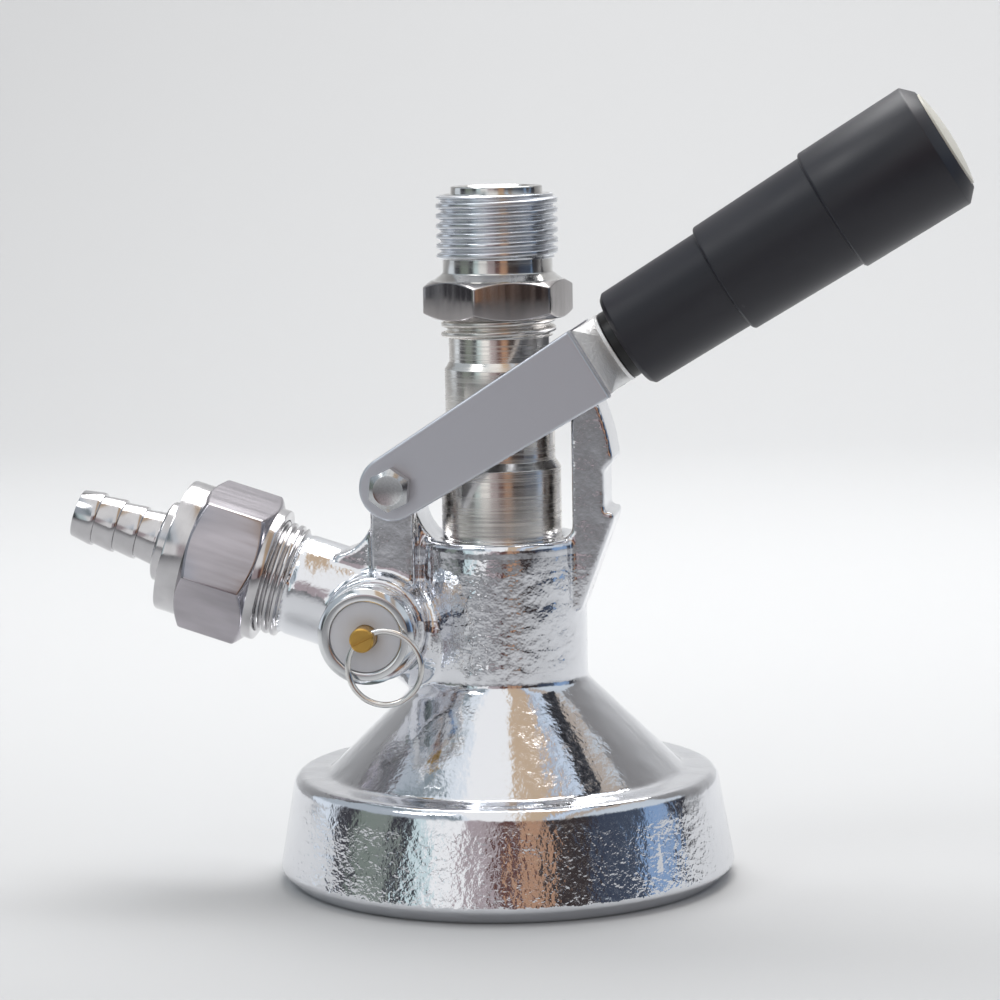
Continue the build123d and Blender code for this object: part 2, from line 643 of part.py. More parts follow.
# ---- lever: fork, drive pins, guide collar and latch spring ----
with BuildPart() as yoke:
    with BuildSketch(lever_side.offset(fork_inner)):
        with BuildLine():
            CenterArc((0, 0), fork_round_r, 0, 360)
            Line((fork_end, -fork_end_half), (fork_end, fork_end_half))
        make_hull()
    extrude(amount=fork_outer - fork_inner)
    fillet(yoke.faces().sort_by(Axis.Y)[0].edges(), 0.45)
    mirror(about=Plane.XZ)
    with BuildSketch(lever_face.offset(web_start)):
        Rectangle(2 * fork_inner + 1, 2 * fork_end_half - 0.8)
    extrude(amount=web_end - web_start)
    with BuildSketch(lever_face.offset(web_end)):
        Rectangle(2 * fork_inner + 1, 2 * fork_end_half - 0.8)
    with BuildSketch(lever_face.offset(boss_start)):
        Circle(boss_r)
    loft()
    with BuildSketch(lever_face.offset(web_start)):
        Circle(boss_r - 0.4)
    extrude(amount=boss_start - web_start)
    with BuildSketch(lever_face.offset(boss_start)):
        Circle(boss_r)
    extrude(amount=boss_end - boss_start)
    with BuildSketch(lever_face.offset(web_start - 1)):
        Circle(pawl_r + running)
    extrude(amount=boss_end, mode=Mode.SUBTRACT)
    with BuildSketch(lever_face.offset(spigot_start)):
        Circle(collar_spigot_r + seat)
    extrude(amount=boss_end, mode=Mode.SUBTRACT)
    with BuildSketch(bolt_face.offset(-fork_outer - 1)):
        Circle(bolt_r + running)
    extrude(amount=2 * fork_outer + 2, mode=Mode.SUBTRACT)
    with BuildSketch(lever_side.offset(-pin_socket)):
        with Locations((pin_reach, 0)):
            Circle(pin_r + seat)
    extrude(amount=2 * pin_socket, mode=Mode.SUBTRACT)
save(yoke, "yoke")

with BuildPart() as drive_pins:
    for low in (pin_tip, -pin_socket + seat):
        with BuildSketch(lever_side.offset(low)):
            with Locations((pin_reach, 0)):
                Circle(pin_r)
        extrude(amount=pin_socket - pin_tip - seat)
save(drive_pins, "drive_pins")

with BuildPart() as guide_collar:
    revolve(outline([
        (spigot_start + seat, pawl_r + running), (spigot_start + seat, collar_spigot_r),
        (boss_end + seat, collar_spigot_r),
        (boss_end + seat, collar_r - 0.3), (boss_end + 0.3, collar_r), (collar_end - 0.4, collar_r),
        (collar_end, collar_r - 0.4), (collar_end, rod_r + running), (spring_seat, rod_r + running),
        (spring_seat, pawl_r + running),
    ], lever_side), axis=lever_axis)
save(guide_collar, "guide_collar")

latch_spring = coil(pawl_back + 0.05, spring_seat - 0.05, spring_mean_r, spring_wire, 5, pivot, lever_dir)
save(latch_spring, "latch_spring")

# ---- latch: pawl and rod pulled by the grip ----
with BuildPart() as latch_pawl:
    revolve(outline([
        (pawl_tip, 0), (pawl_tip, pawl_r - 0.7), (pawl_tip + 0.7, pawl_r), (pawl_back, pawl_r),
        (pawl_back, rod_r + seat), (pawl_back - 2.0, rod_r + seat), (pawl_back - 2.0, 0),
    ], lever_side), axis=lever_axis)
save(latch_pawl, "latch_pawl")

with BuildPart() as latch_rod:
    revolve(outline([
        (pawl_back - 1.95, 0), (pawl_back - 1.95, rod_r), (rod_end - 0.5, rod_r), (rod_end, rod_r - 0.5),
        (rod_end, 0),
    ], lever_side), axis=lever_axis)
save(latch_rod, "latch_rod")

with BuildPart() as handle_grip:
    revolve(outline([
        (grip_start, grip_mouth_r), (grip_start, grip_r[0][0] - 0.85), (grip_start + 0.85, grip_r[0][0]),
        (grip_step_1, grip_r[0][1]), (grip_step_1, grip_r[1][0] - 0.4), (grip_step_1 + 0.4, grip_r[1][0]),
        (grip_step_2, grip_r[1][1]), (grip_step_2, grip_r[2][0] - 0.4), (grip_step_2 + 0.4, grip_r[2][0]),
        (grip_bevel, grip_r[2][1]), (grip_end, grip_face_r), (grip_end, cap_r + seat),
        (cap_seat - 0.1, cap_r + seat), (cap_seat - 0.1, grip_socket_r), (grip_nut_z, grip_socket_r),
        (grip_nut_z, rod_r + seat), (grip_mouth_end, rod_r + seat), (grip_mouth_end, grip_mouth_r),
    ], lever_side), axis=lever_axis)
save(handle_grip, "handle_grip")

with BuildPart() as grip_nut:
    with BuildSketch(lever_face.offset(grip_nut_z + seat)):
        RegularPolygon(grip_nut_flats / 2, 6, major_radius=False)
        Circle(rod_r + seat, mode=Mode.SUBTRACT)
    extrude(amount=grip_nut_thick)
save(grip_nut, "grip_nut")

dome = cap_crown - cap_edge
dome_r = (cap_r ** 2 + dome ** 2) / (2 * dome)
dome_half = asin(cap_r / dome_r) / 2
with BuildPart() as end_cap:
    with BuildSketch(lever_side):
        with BuildLine():
            Polyline((cap_crown, 0), (cap_seat, 0), (cap_seat, cap_r), (cap_edge, cap_r))
            ThreePointArc((cap_edge, cap_r),
                          (cap_crown - dome_r * (1 - cos(dome_half)), dome_r * sin(dome_half)), (cap_crown, 0))
        make_face()
    revolve(axis=lever_axis)
save(end_cap, "end_cap")
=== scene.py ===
# %% [markdown]
# # A keg coupler, dressed for a studio picture
# The coupler comes packed from the CAD model as a frame of rigid bodies. This lesson keeps
# that frame as it is, and gives each piece its finish: cast and plated, turned, bead-blasted
# or moulded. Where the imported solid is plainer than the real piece, a surface worked out with
# numpy stands in its place: the threads, the drawn hexagons, the stepped grip. The frame could
# be dressed with materials alone, but then the threads would be missing and every casting
# would keep knife edges.

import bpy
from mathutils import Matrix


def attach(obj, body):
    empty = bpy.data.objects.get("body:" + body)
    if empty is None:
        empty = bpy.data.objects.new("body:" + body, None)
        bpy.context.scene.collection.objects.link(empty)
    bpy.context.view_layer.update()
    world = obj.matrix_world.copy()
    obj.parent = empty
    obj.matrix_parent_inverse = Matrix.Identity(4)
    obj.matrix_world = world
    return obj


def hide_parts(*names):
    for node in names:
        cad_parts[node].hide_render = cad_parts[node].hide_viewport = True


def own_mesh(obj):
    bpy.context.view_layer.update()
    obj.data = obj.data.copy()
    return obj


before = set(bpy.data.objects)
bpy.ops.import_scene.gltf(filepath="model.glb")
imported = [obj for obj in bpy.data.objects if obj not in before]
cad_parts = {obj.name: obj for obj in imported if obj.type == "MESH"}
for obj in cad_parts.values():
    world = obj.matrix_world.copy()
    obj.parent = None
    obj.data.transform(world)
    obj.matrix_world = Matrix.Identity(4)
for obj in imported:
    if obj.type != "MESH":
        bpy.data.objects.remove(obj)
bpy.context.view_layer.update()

# %% Tools for this lesson
from math import cos, degrees, pi, radians, sin

import bmesh
import bpy
import numpy as np
from mathutils import Matrix, Vector

MM = 0.001
scene = bpy.context.scene
print("nodes in the frame:", len(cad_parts))

# %% [markdown]
# ## The lines that the pieces are built round
# Nearly every piece of a coupler is turned, so it has an axis. There are five: the probe's,
# the gas inlet's, the relief valve's, the lever's and the pivot bolt's. Each is a point and
# three directions, and stations along an axis are in millimetres, as on a turner's drawing.
# A piece could also be built upright and then turned into place, but its object has to stay
# unturned, so its points are worked out where they belong.

# %% Turning axes


def turning_axis(point, along, across):
    """Point, axis direction, and two directions square to it; angle zero is at `across`."""
    along = np.array(along, float) / np.linalg.norm(along)
    first = np.array(across, float) - np.dot(across, along) * along
    first /= np.linalg.norm(first)
    return np.array(point, float), along, first, np.cross(along, first)


INLET_RISE = radians(17.8)
LEVER_ANGLE = radians(31.6)
PIVOT = (-17.8, 0, 74.0)
PROBE = turning_axis((0, 0, 0), (0, 0, 1), (1, 0, 0))
INLET = turning_axis((0, 0, 42.0), (-cos(INLET_RISE), 0, sin(INLET_RISE)), (0, 1, 0))
VALVE = turning_axis((-21.85, 0, 48.1), (0, -1, 0), (1, 0, 0))
LEVER = turning_axis(PIVOT, (cos(LEVER_ANGLE), 0, sin(LEVER_ANGLE)), (0, 1, 0))
BOLT = turning_axis(PIVOT, (0, -1, 0), (1, 0, 0))
print("inlet rises", round(degrees(INLET_RISE), 1), "degrees, lever", round(degrees(LEVER_ANGLE), 1))

# %% [markdown]
# ## Surfaces from a profile
# A lathe piece is a profile carried round an axis. On a grid, rows follow the profile and
# columns follow the angle. A row may also depend on the angle: that is how a hexagon or a
# thread is cut into the same surface. The grid closes on itself both ways, like a tyre, so
# the solid has no holes. A piece that reaches its own axis has its pole points merged.
# Blender's Screw modifier spins a profile too, but it can't let a row change with the angle.

# %% Put a grid into a mesh


def grid_mesh(name, points):
    """Grid of points, rows by columns by xyz in mm, closed both ways, as one mesh.

    Point (i, j) joins (i+1, j) and (i, j+1), counted round modulo the grid's size.
    """
    rows, columns = points.shape[:2]
    i, j = np.meshgrid(np.arange(rows), np.arange(columns), indexing="ij")
    here, up = i * columns, (i + 1) % rows * columns
    right = (j + 1) % columns
    quads = np.stack([here + j, here + right, up + right, up + j], axis=-1).reshape(-1, 4)
    mesh = bpy.data.meshes.new(name)
    mesh.from_pydata((points.reshape(-1, 3) * MM).tolist(), [], quads.tolist())
    return outward(mesh)


def outward(mesh):
    """Merges points that lie together and turns every face to look outwards."""
    work = bmesh.new()
    work.from_mesh(mesh)
    bmesh.ops.remove_doubles(work, verts=work.verts, dist=1e-6)
    bmesh.ops.recalc_face_normals(work, faces=work.faces)
    work.to_mesh(mesh)
    work.free()
    return mesh


print("a grid closes both ways, like a tyre")

# %% Put a mesh into the scene


def add_piece(name, points, body, finish, stands_for=(), crease=35.0):
    """A closed grid of points as a piece of the scene."""
    return place(name, grid_mesh(name, points), body, finish, stands_for, crease)


def place(name, mesh, body, finish, stands_for=(), crease=35.0):
    """Puts a mesh in the scene, shades it smooth but for its creases, and lets it ride."""
    mesh.polygons.foreach_set("use_smooth", np.ones(len(mesh.polygons), bool))
    mesh.set_sharp_from_angle(angle=radians(crease))
    mesh.materials.append(finish)
    piece = bpy.data.objects.new(name, mesh)
    scene.collection.objects.link(piece)
    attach(piece, body)
    if stands_for:
        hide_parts(*stands_for)
    print(f"{name}: {len(mesh.polygons)} faces on {body}")
    return piece


print("pieces are shaded smooth but for creases over 35 degrees")

# %% Carry a profile round an axis


def section(rows, angles):
    """Rows of (station, radius), each a number or an array over the angles, as one array."""
    return np.array([[np.broadcast_to(v, angles.shape) for v in row] for row in rows]).transpose(0, 2, 1)


def eased(rows, ease, steps=3):
    """Each corner becomes a parabola that leaves its sides `ease` mm off the corner.

    With A and B on the two sides and P the corner, a point is (1-t)^2 A + 2t(1-t) P + t^2 B.
    No easing takes more than 0.4 of a side, so neighbouring corners never meet.
    """
    before, after = np.roll(rows, 1, axis=0) - rows, np.roll(rows, -1, axis=0) - rows
    long_before = np.linalg.norm(before, axis=2, keepdims=True).clip(1e-9)
    long_after = np.linalg.norm(after, axis=2, keepdims=True).clip(1e-9)
    a = rows + before * np.minimum(ease / long_before, 0.4)
    b = rows + after * np.minimum(ease / long_after, 0.4)
    t = np.linspace(0, 1, steps)[None, :, None, None]
    curve = (1 - t) ** 2 * a[:, None] + 2 * t * (1 - t) * rows[:, None] + t ** 2 * b[:, None]
    return curve.reshape(-1, *rows.shape[1:])


def spun(rows, angles, axis):
    """Point = axis point + station along the axis + radius in the direction of the angle."""
    point, along, first, second = axis
    direction = np.cos(angles)[:, None] * first + np.sin(angles)[:, None] * second
    return point + rows[..., :1] * along + rows[..., 1:] * direction


ROUND = np.linspace(0, 2 * pi, 128, endpoint=False)
print("points round a turned piece:", len(ROUND))

# %% [markdown]
# ## Hexagons and threads as rows
# A hexagon's radius at an angle is half its width across flats over the cosine of the angle
# from the middle of the nearest flat. Its corners are chamfered by a cone, and the chamfer's
# edge lies lower where the radius is larger: that gives the curved line that every real nut
# shows. A thread's radius swings between root and crest as the angle turns and the station
# moves: one full swing for each pitch along, or for each turn round. Threads are sleeves of
# their own, because a hexagon's columns crowd at its corners and a thread wants even ones.

# %% Rows for a hexagon
CHAMFER = 0.577


def hexagon_angles(turn):
    """Angles over one turn that crowd together at the six corners, turned by `turn` degrees."""
    side = np.array([-30, -29.4, -28.4, -26, -22, -17, -12, -6, 0, 6, 12, 17, 22, 26, 28.4, 29.4])
    return radians(turn) + np.radians(np.add.outer(np.arange(6) * 60.0, side).ravel())


def hexagon_radius(angles, flats, turn):
    """Half the flats over cos(angle from the nearest flat's middle), the corners broken slightly."""
    from_middle = (angles - radians(turn) + pi / 6) % (pi / 3) - pi / 6
    return np.minimum(flats / 2 / np.cos(from_middle), flats / 2 / cos(radians(29.2)))


def hexagon_rows(low, high, flats, angles, turn):
    """Chamfer foot, edge, edge, foot: an edge is off the foot by 30 degrees' tangent of its rise."""
    radius = hexagon_radius(angles, flats, turn)
    foot = flats / 2 - 0.2
    drop = (radius - foot) * CHAMFER
    return [(low, foot), (low + drop, radius), (high - drop, radius), (high, foot)]


print("columns of a hexagonal piece:", len(hexagon_angles(0)))

# %% Rows for a thread
FINE_ROUND = np.linspace(0, 2 * pi, 192, endpoint=False)


def thread_rows(low, high, root, crest, pitch, angles, start, fade):
    """Radius = root + depth * ridge, ridge a rounded wave of (station / pitch - angle / turn).

    The wave is (1 + tanh(2.2 cos + 0.8)) / 2, wide flat crests with narrower grooves, and it
    fades out over `fade` mm at either end.
    """
    stations = np.linspace(low, high, int((high - low) / pitch * 16))
    phase = stations[:, None] / pitch - angles / (2 * pi) + start
    ridge = 0.5 + 0.5 * np.tanh(2.2 * np.cos(2 * pi * phase) + 0.8)
    ridge *= np.clip(np.minimum(stations - low, high - stations) / fade, 0, 1)[:, None]
    return [(station, root + (crest - root) * wave) for station, wave in zip(stations, ridge)]


def thread_sleeve(low, high, root, crest, pitch, axis, start, fade):
    """Thread rows outside and a plain wall 0.5 mm under the root inside, as one closed ring."""
    rows = thread_rows(low, high, root, crest, pitch, FINE_ROUND, start, fade)
    return spun(section(rows + [(high, root - 0.5), (low, root - 0.5)], FINE_ROUND), FINE_ROUND, axis)


print("columns of a thread:", len(FINE_ROUND))

# %% [markdown]
# ## Finishes
# A finish is a Principled shader whose roughness, colour and bump come from noise in Object
# coordinates. Object coordinates are in metres, so a noise scale of 500 gives grains about
# two millimetres across. Anything that is the same all over is set on the shader's own
# socket. The first helper makes the shader, and the others add a noise or a bump to it. A
# picture wrapped round the piece could do this too, but it would show seams and a tile.

# %% Helpers for finishes


def new_finish(name, colour, metal, rough):
    """A material with a Principled shader, and its Object coordinates."""
    material = bpy.data.materials.new(name)
    material.use_nodes = True
    tree = material.node_tree
    shader = tree.nodes["Principled BSDF"]
    shader.inputs["Base Color"].default_value = (*colour, 1)
    shader.inputs["Metallic"].default_value = metal
    shader.inputs["Roughness"].default_value = rough
    coords = tree.nodes.new("ShaderNodeTexCoord").outputs["Object"]
    material.diffuse_color = (*colour, 1)
    return material, tree, shader, coords


def turned_to(tree, coords, axis):
    """Coordinates with x, y square to a turning axis and z along it, from that axis' point."""
    point, along, first, second = axis
    inverse = Matrix((first, second, along))
    mapping = tree.nodes.new("ShaderNodeMapping")
    mapping.vector_type = "POINT"
    turn = inverse.to_euler("XYZ")
    mapping.inputs["Rotation"].default_value = turn
    mapping.inputs["Location"].default_value = inverse @ Vector(point * -MM)
    tree.links.new(coords, mapping.inputs["Vector"])
    return mapping.outputs["Vector"]


def noise(tree, coords, scale, stretch=(1, 1, 1), detail=2.0, rough=0.5):
    """Noise of that scale, its coordinates multiplied by `stretch` first."""
    mapping = tree.nodes.new("ShaderNodeMapping")
    mapping.inputs["Scale"].default_value = stretch
    tree.links.new(coords, mapping.inputs["Vector"])
    cloud = tree.nodes.new("ShaderNodeTexNoise")
    cloud.inputs["Scale"].default_value = scale
    cloud.inputs["Detail"].default_value = detail
    cloud.inputs["Roughness"].default_value = rough
    tree.links.new(mapping.outputs["Vector"], cloud.inputs["Vector"])
    return cloud.outputs["Fac"]


def spread(tree, value, low, high, start=0.3, end=0.7):
    """Maps start..end of a value to low..high, clamped."""
    ranged = tree.nodes.new("ShaderNodeMapRange")
    for socket, number in zip(("From Min", "From Max", "To Min", "To Max"), (start, end, low, high)):
        ranged.inputs[socket].default_value = number
    tree.links.new(value, ranged.inputs["Value"])
    return ranged.outputs["Result"]


def colour_ramp(tree, value, stops):
    """The colour at a value from 0 to 1, between (position, colour) stops."""
    ramp = tree.nodes.new("ShaderNodeValToRGB")
    while len(ramp.color_ramp.elements) < len(stops):
        ramp.color_ramp.elements.new(0.5)
    for element, (position, colour) in zip(ramp.color_ramp.elements, stops):
        element.position = position
        element.color = (*colour, 1)
    tree.links.new(value, ramp.inputs["Fac"])
    return ramp.outputs["Color"]


def tint(tree, value, shader, *stops):
    """Colours the shader along a ramp of (position, colour) stops."""
    to(tree, colour_ramp(tree, value, stops), shader, "Base Color")


def bump(tree, value, depth, before=None):
    """A bump of `depth` mm from a value, on top of an earlier bump."""
    raised = tree.nodes.new("ShaderNodeBump")
    raised.inputs["Strength"].default_value = 1.0
    raised.inputs["Distance"].default_value = depth * MM
    tree.links.new(value, raised.inputs["Height"])
    if before is not None:
        tree.links.new(before, raised.inputs["Normal"])
    return raised.outputs["Normal"]


def to(tree, value, shader, socket):
    """Links a value to one of the shader's sockets."""
    tree.links.new(value, shader.inputs[socket])


print("helpers: finish, place, noise, range, colour and bump")

# %% Helpers that keep a pattern in one zone


def within(tree, coords, axis_name, low, high, soft):
    """1 where a coordinate in mm lies between low and high, fading to 0 over `soft` mm."""
    coordinate = xyz_of(tree, coords)[axis_name]
    rising = spread(tree, coordinate, 0.0, 1.0, (low - soft) * MM, low * MM)
    falling = spread(tree, coordinate, 1.0, 0.0, high * MM, (high + soft) * MM)
    return times(tree, rising, falling)


def worked_out(tree, operation, *values):
    """The result of a Math node; each value is another node's output or a plain number."""
    node = tree.nodes.new("ShaderNodeMath")
    node.operation = operation
    for entry, value in zip(node.inputs, values):
        if isinstance(value, float):
            entry.default_value = value
        else:
            tree.links.new(value, entry)
    return node.outputs[0]


def times(tree, first, second):
    """The product of two values."""
    return worked_out(tree, "MULTIPLY", first, second)


def xyz_of(tree, vector):
    """The three outputs X, Y and Z of a vector."""
    parts = tree.nodes.new("ShaderNodeSeparateXYZ")
    tree.links.new(vector, parts.inputs["Vector"])
    return parts.outputs


print("helpers: zone, product, coordinates")

# %% [markdown]
# ## Bright plate over a casting
# The body is brass cast in sand, tumbled, then plated with bright chrome. The plate is a
# mirror, but the casting under it is not flat: it has a skin of shallow dimples, coarser on
# the barrel and finer on the skirt. Noise in several sizes gives them as bump. Modelling them
# would take millions of faces, and they are too shallow to change the outline.

# %% Cast chrome


def cast_plate(name, colour, peel, rough):
    """Mirror plate over dimples: each bump's depth is a share of `peel` in mm.

    Waves are 9 mm wide, dimples 2.3 mm and grain 0.8 mm; the crust is on the barrel alone, the
    sparkle on the skirt alone.
    """
    material, tree, shader, coords = new_finish(name, colour, 1.0, rough)
    waves = noise(tree, coords, 110, detail=1.0)
    dimples = noise(tree, coords, 430, detail=2.0, rough=0.6)
    grain = noise(tree, coords, 1300, detail=2.0, rough=0.6)
    barrel_height = within(tree, coords, "Z", 40.0, 58.0, 3.0)
    barrel = times(tree, barrel_height, within(tree, coords, "X", -14.0, 20.0, 4.0))
    crust = times(tree, noise(tree, coords, 300, detail=3.0, rough=0.6), barrel)
    skirt = within(tree, coords, "Z", 0.0, 15.5, 2.0)
    sparkle = times(tree, noise(tree, coords, 850, detail=2.0, rough=0.6), skirt)
    to(tree, spread(tree, grain, rough * 0.5, rough * 2.4), shader, "Roughness")
    skin = None
    for height, share in ((waves, 3.5), (dimples, 0.55), (grain, 0.22), (sparkle, 0.9), (crust, 2.4)):
        skin = bump(tree, height, peel * share, skin)
    to(tree, skin, shader, "Normal")
    return material


body_plate = cast_plate("body_plate", (0.78, 0.79, 0.82), 0.11, 0.07)
print(body_plate.name)

# %% [markdown]
# ## Turned, drawn, blasted and moulded finishes
# A turned piece keeps the tool's fine rings, so its noise changes quickly along the axis and
# hardly round it. A drawn bar keeps long scratches on its flats. Bead blasting leaves an even,
# fine matt grain. Moulded plastic is smooth, with a few scuffs from handling. Anisotropic
# shading could fake the rings, but the noise also breaks up the edge of each reflection.

# %% Turned finish


def turned_plate(name, colour, rough, axis, rings, depth):
    """Fine rings square to the axis: noise that hardly changes round it, as bump and roughness."""
    material, tree, shader, coords = new_finish(name, colour, 1.0, rough)
    local = turned_to(tree, coords, axis)
    fine = noise(tree, local, rings, stretch=(0.02, 0.02, 1.0), detail=3.0)
    broad = noise(tree, local, 160, stretch=(0.03, 0.03, 1.0), detail=1.0)
    stain = noise(tree, local, 220, detail=2.0)
    to(tree, spread(tree, fine, rough * 0.6, rough * 1.7), shader, "Roughness")
    dark = tuple(c * 0.86 for c in colour)
    tint(tree, stain, shader, (0.35, dark), (0.65, colour))
    first = bump(tree, broad, depth * 3)
    to(tree, bump(tree, fine, depth, first), shader, "Normal")
    return material


probe_plate = turned_plate("probe_nickel", (0.84, 0.81, 0.77), 0.20, PROBE, 2600, 0.0012)
adapter_plate = turned_plate("adapter_nickel", (0.72, 0.71, 0.69), 0.12, PROBE, 1300, 0.003)
thread_plate = turned_plate("thread_nickel", (0.80, 0.82, 0.86), 0.22, PROBE, 2600, 0.001)
barb_plate = turned_plate("barb_nickel", (0.60, 0.59, 0.60), 0.12, INLET, 1300, 0.003)
valve_plate = turned_plate("valve_bright", (0.78, 0.79, 0.80), 0.10, VALVE, 1500, 0.002)
brass = turned_plate("brass_stem", (0.62, 0.38, 0.10), 0.30, VALVE, 1500, 0.004)
print("turned finishes:", probe_plate.name, adapter_plate.name, barb_plate.name)

# %% Drawn bar for the union nut


def drawn_bar(name, colour, rough, axis):
    """Scratches along the axis: noise stretched that way, with darker streaks."""
    material, tree, shader, coords = new_finish(name, colour, 1.0, rough)
    local = turned_to(tree, coords, axis)
    lines = noise(tree, local, 900, stretch=(1.0, 1.0, 0.035), detail=3.0)
    patches = noise(tree, local, 260, stretch=(1.0, 1.0, 0.3), detail=2.0)
    to(tree, spread(tree, lines, rough * 0.7, rough * 1.6), shader, "Roughness")
    tint(tree, patches, shader, (0.30, tuple(c * 0.78 for c in colour)), (0.70, colour))
    to(tree, bump(tree, lines, 0.010), shader, "Normal")
    return material


nut_plate = drawn_bar("nut_drawn", (0.46, 0.435, 0.465), 0.16, INLET)
hex_plate = drawn_bar("adapter_drawn", (0.45, 0.425, 0.42), 0.16, PROBE)
print(nut_plate.name, hex_plate.name)

# %% Fork, zinc and wire finishes
FINE_GRAIN = 2600


def blasted(name, colour, rough, grain_depth):
    """Even matt metal: a very fine grain as bump, a slow noise as shade."""
    material, tree, shader, coords = new_finish(name, colour, 1.0, rough)
    grain = noise(tree, coords, FINE_GRAIN, detail=3.0, rough=0.6)
    slow = noise(tree, coords, 120, detail=2.0)
    to(tree, spread(tree, slow, rough * 0.85, rough * 1.2), shader, "Roughness")
    tint(tree, grain, shader, (0.30, tuple(c * 0.82 for c in colour)), (0.70, colour))
    to(tree, bump(tree, grain, grain_depth), shader, "Normal")
    return material


def fork_finish(name, colour, rough):
    """Satin arms; past 42.5 mm along the lever the boss is paler, rough from the sand."""
    material, tree, shader, coords = new_finish(name, colour, 1.0, rough)
    local = turned_to(tree, coords, LEVER)
    boss = within(tree, local, "Z", 42.5, 60.0, 0.25)
    grain = noise(tree, coords, FINE_GRAIN, detail=3.0, rough=0.6)
    sand = times(tree, noise(tree, coords, 1400, detail=3.0, rough=0.65), boss)
    to(tree, spread(tree, boss, rough, 0.42, 0.0, 1.0), shader, "Roughness")
    to(tree, spread(tree, boss, 1.0, 0.55, 0.0, 1.0), shader, "Metallic")
    tint(tree, boss, shader, (0.0, colour), (1.0, (0.80, 0.80, 0.80)))
    satin = bump(tree, grain, 0.014)
    to(tree, bump(tree, sand, 0.22, satin), shader, "Normal")
    return material


fork_satin = fork_finish("fork_satin", (0.64, 0.66, 0.71), 0.36)
bolt_zinc = blasted("bolt_zinc", (0.60, 0.61, 0.62), 0.20, 0.004)
wire_bright = blasted("wire_bright", (0.80, 0.79, 0.77), 0.14, 0.003)
spring_wire = blasted("spring_wire", (0.60, 0.60, 0.61), 0.25, 0.004)
print(fork_satin.name, bolt_zinc.name)

# %% Moulded finishes


def moulded(name, colour, rough, grain_depth, scuffs=0.0):
    """Plastic or rubber: fine grain, slow gloss variation, and thin lighter scuffs if wanted."""
    material, tree, shader, coords = new_finish(name, colour, 0.0, rough)
    grain = noise(tree, coords, 2200, detail=2.0)
    slow = noise(tree, coords, 60, detail=2.0)
    to(tree, spread(tree, slow, rough * 0.85, rough * 1.15), shader, "Roughness")
    marks = noise(tree, coords, 210, stretch=(1.0, 1.0, 0.12), detail=4.0, rough=0.7)
    light = tuple(min(1.0, c + scuffs) for c in colour)
    tint(tree, marks, shader, (0.0, tuple(c * 0.92 for c in colour)), (0.68, colour), (0.76, light))
    to(tree, bump(tree, grain, grain_depth), shader, "Normal")
    return material


grip_plastic = moulded("grip_plastic", (0.014, 0.014, 0.021), 0.42, 0.005, scuffs=0.04)
collar_plastic = moulded("collar_plastic", (0.004, 0.004, 0.005), 0.36, 0.004)
rubber = moulded("seal_rubber", (0.018, 0.018, 0.018), 0.55, 0.006)
cap_plastic = moulded("cap_plastic", (0.72, 0.70, 0.62), 0.34, 0.003)
ball_plastic = moulded("ball_plastic", (0.82, 0.82, 0.80), 0.25, 0.002)
disc_plastic = moulded("disc_plastic", (0.66, 0.67, 0.71), 0.30, 0.002)
print(grip_plastic.name, cap_plastic.name)

# %% [markdown]
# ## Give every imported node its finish
# The slot in the record says what each node is made of. The material goes into the object's
# own material slot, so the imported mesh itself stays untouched. Nodes that a new piece stands
# for get one too, so that nothing is bare if a piece is taken away.

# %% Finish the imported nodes
FINISH_OF = {
    "coupler_body": body_plate, "body_seal": rubber, "gland_oring": rubber, "probe_seal": rubber,
    "outlet_gasket": rubber, "inlet_washer": rubber, "inlet_check_valve": rubber,
    "pivot_bolt": bolt_zinc, "pivot_nut": bolt_zinc, "pivot_spacers": bolt_zinc, "grip_nut": bolt_zinc,
    "hose_barb": barb_plate, "inlet_nut": nut_plate, "valve_housing": valve_plate,
    "valve_disc": disc_plastic, "valve_poppet": rubber, "valve_stem": brass, "valve_spring": spring_wire,
    "pull_ring": wire_bright, "probe": probe_plate, "outlet_adapter": adapter_plate,
    "check_ball": ball_plastic, "ball_retainer": ball_plastic, "yoke": fork_satin, "drive_pins": bolt_zinc,
    "guide_collar": collar_plastic, "latch_spring": spring_wire, "latch_pawl": bolt_zinc,
    "latch_rod": bolt_zinc, "handle_grip": grip_plastic, "end_cap": cap_plastic,
}
for node, finish in FINISH_OF.items():
    for material_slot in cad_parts[node].material_slots:
        material_slot.link = "OBJECT"
        material_slot.material = finish
print("finished nodes:", len(FINISH_OF), "of", len(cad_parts))

# %% [markdown]
# ## The outlet adapter
# The adapter is turned from hexagon bar: a chamfered hexagon for the spanner, a short neck,
# and a male thread for the beer line, six crests at 1.81 mm pitch, with a raised lip above it.
# The bar is one closed grid, up the outside, over the lip and back down the bore. The thread
# is a sleeve on it, which is simpler than cutting a helix out of the bar.

# %% Adapter with its thread
ADAPTER_TURN = 49.5
BEER_PITCH = 1.814
hexed = hexagon_angles(ADAPTER_TURN)
bar = section([(103.6, 11.5)] + hexagon_rows(103.6, 110.6, 24.3, hexed, ADAPTER_TURN)
              + [(110.6, 11.75), (111.9, 10.05), (113.6, 10.0), (125.9, 10.0)], hexed)
lip = section([(126.2, 9.7), (126.2, 8.4), (127.4, 8.35), (127.6, 8.15), (127.6, 7.2), (127.0, 6.5),
               (123.3, 6.2), (110.0, 6.2), (110.0, 10.55), (103.6, 10.6)], hexed)
adapter_rows = np.concatenate([eased(bar, 0.16)[2:], eased(lip, 0.12)])
adapter = add_piece("adapter_turned", spun(adapter_rows, hexed, PROBE), "probe",
                    adapter_plate, ["outlet_adapter"])
adapter_ribs = thread_sleeve(114.4, 126.1, 10.2, 11.1, BEER_PITCH, PROBE, start=0.15, fade=0.4)
add_piece("adapter_thread", adapter_ribs, "probe", thread_plate, crease=180.0)

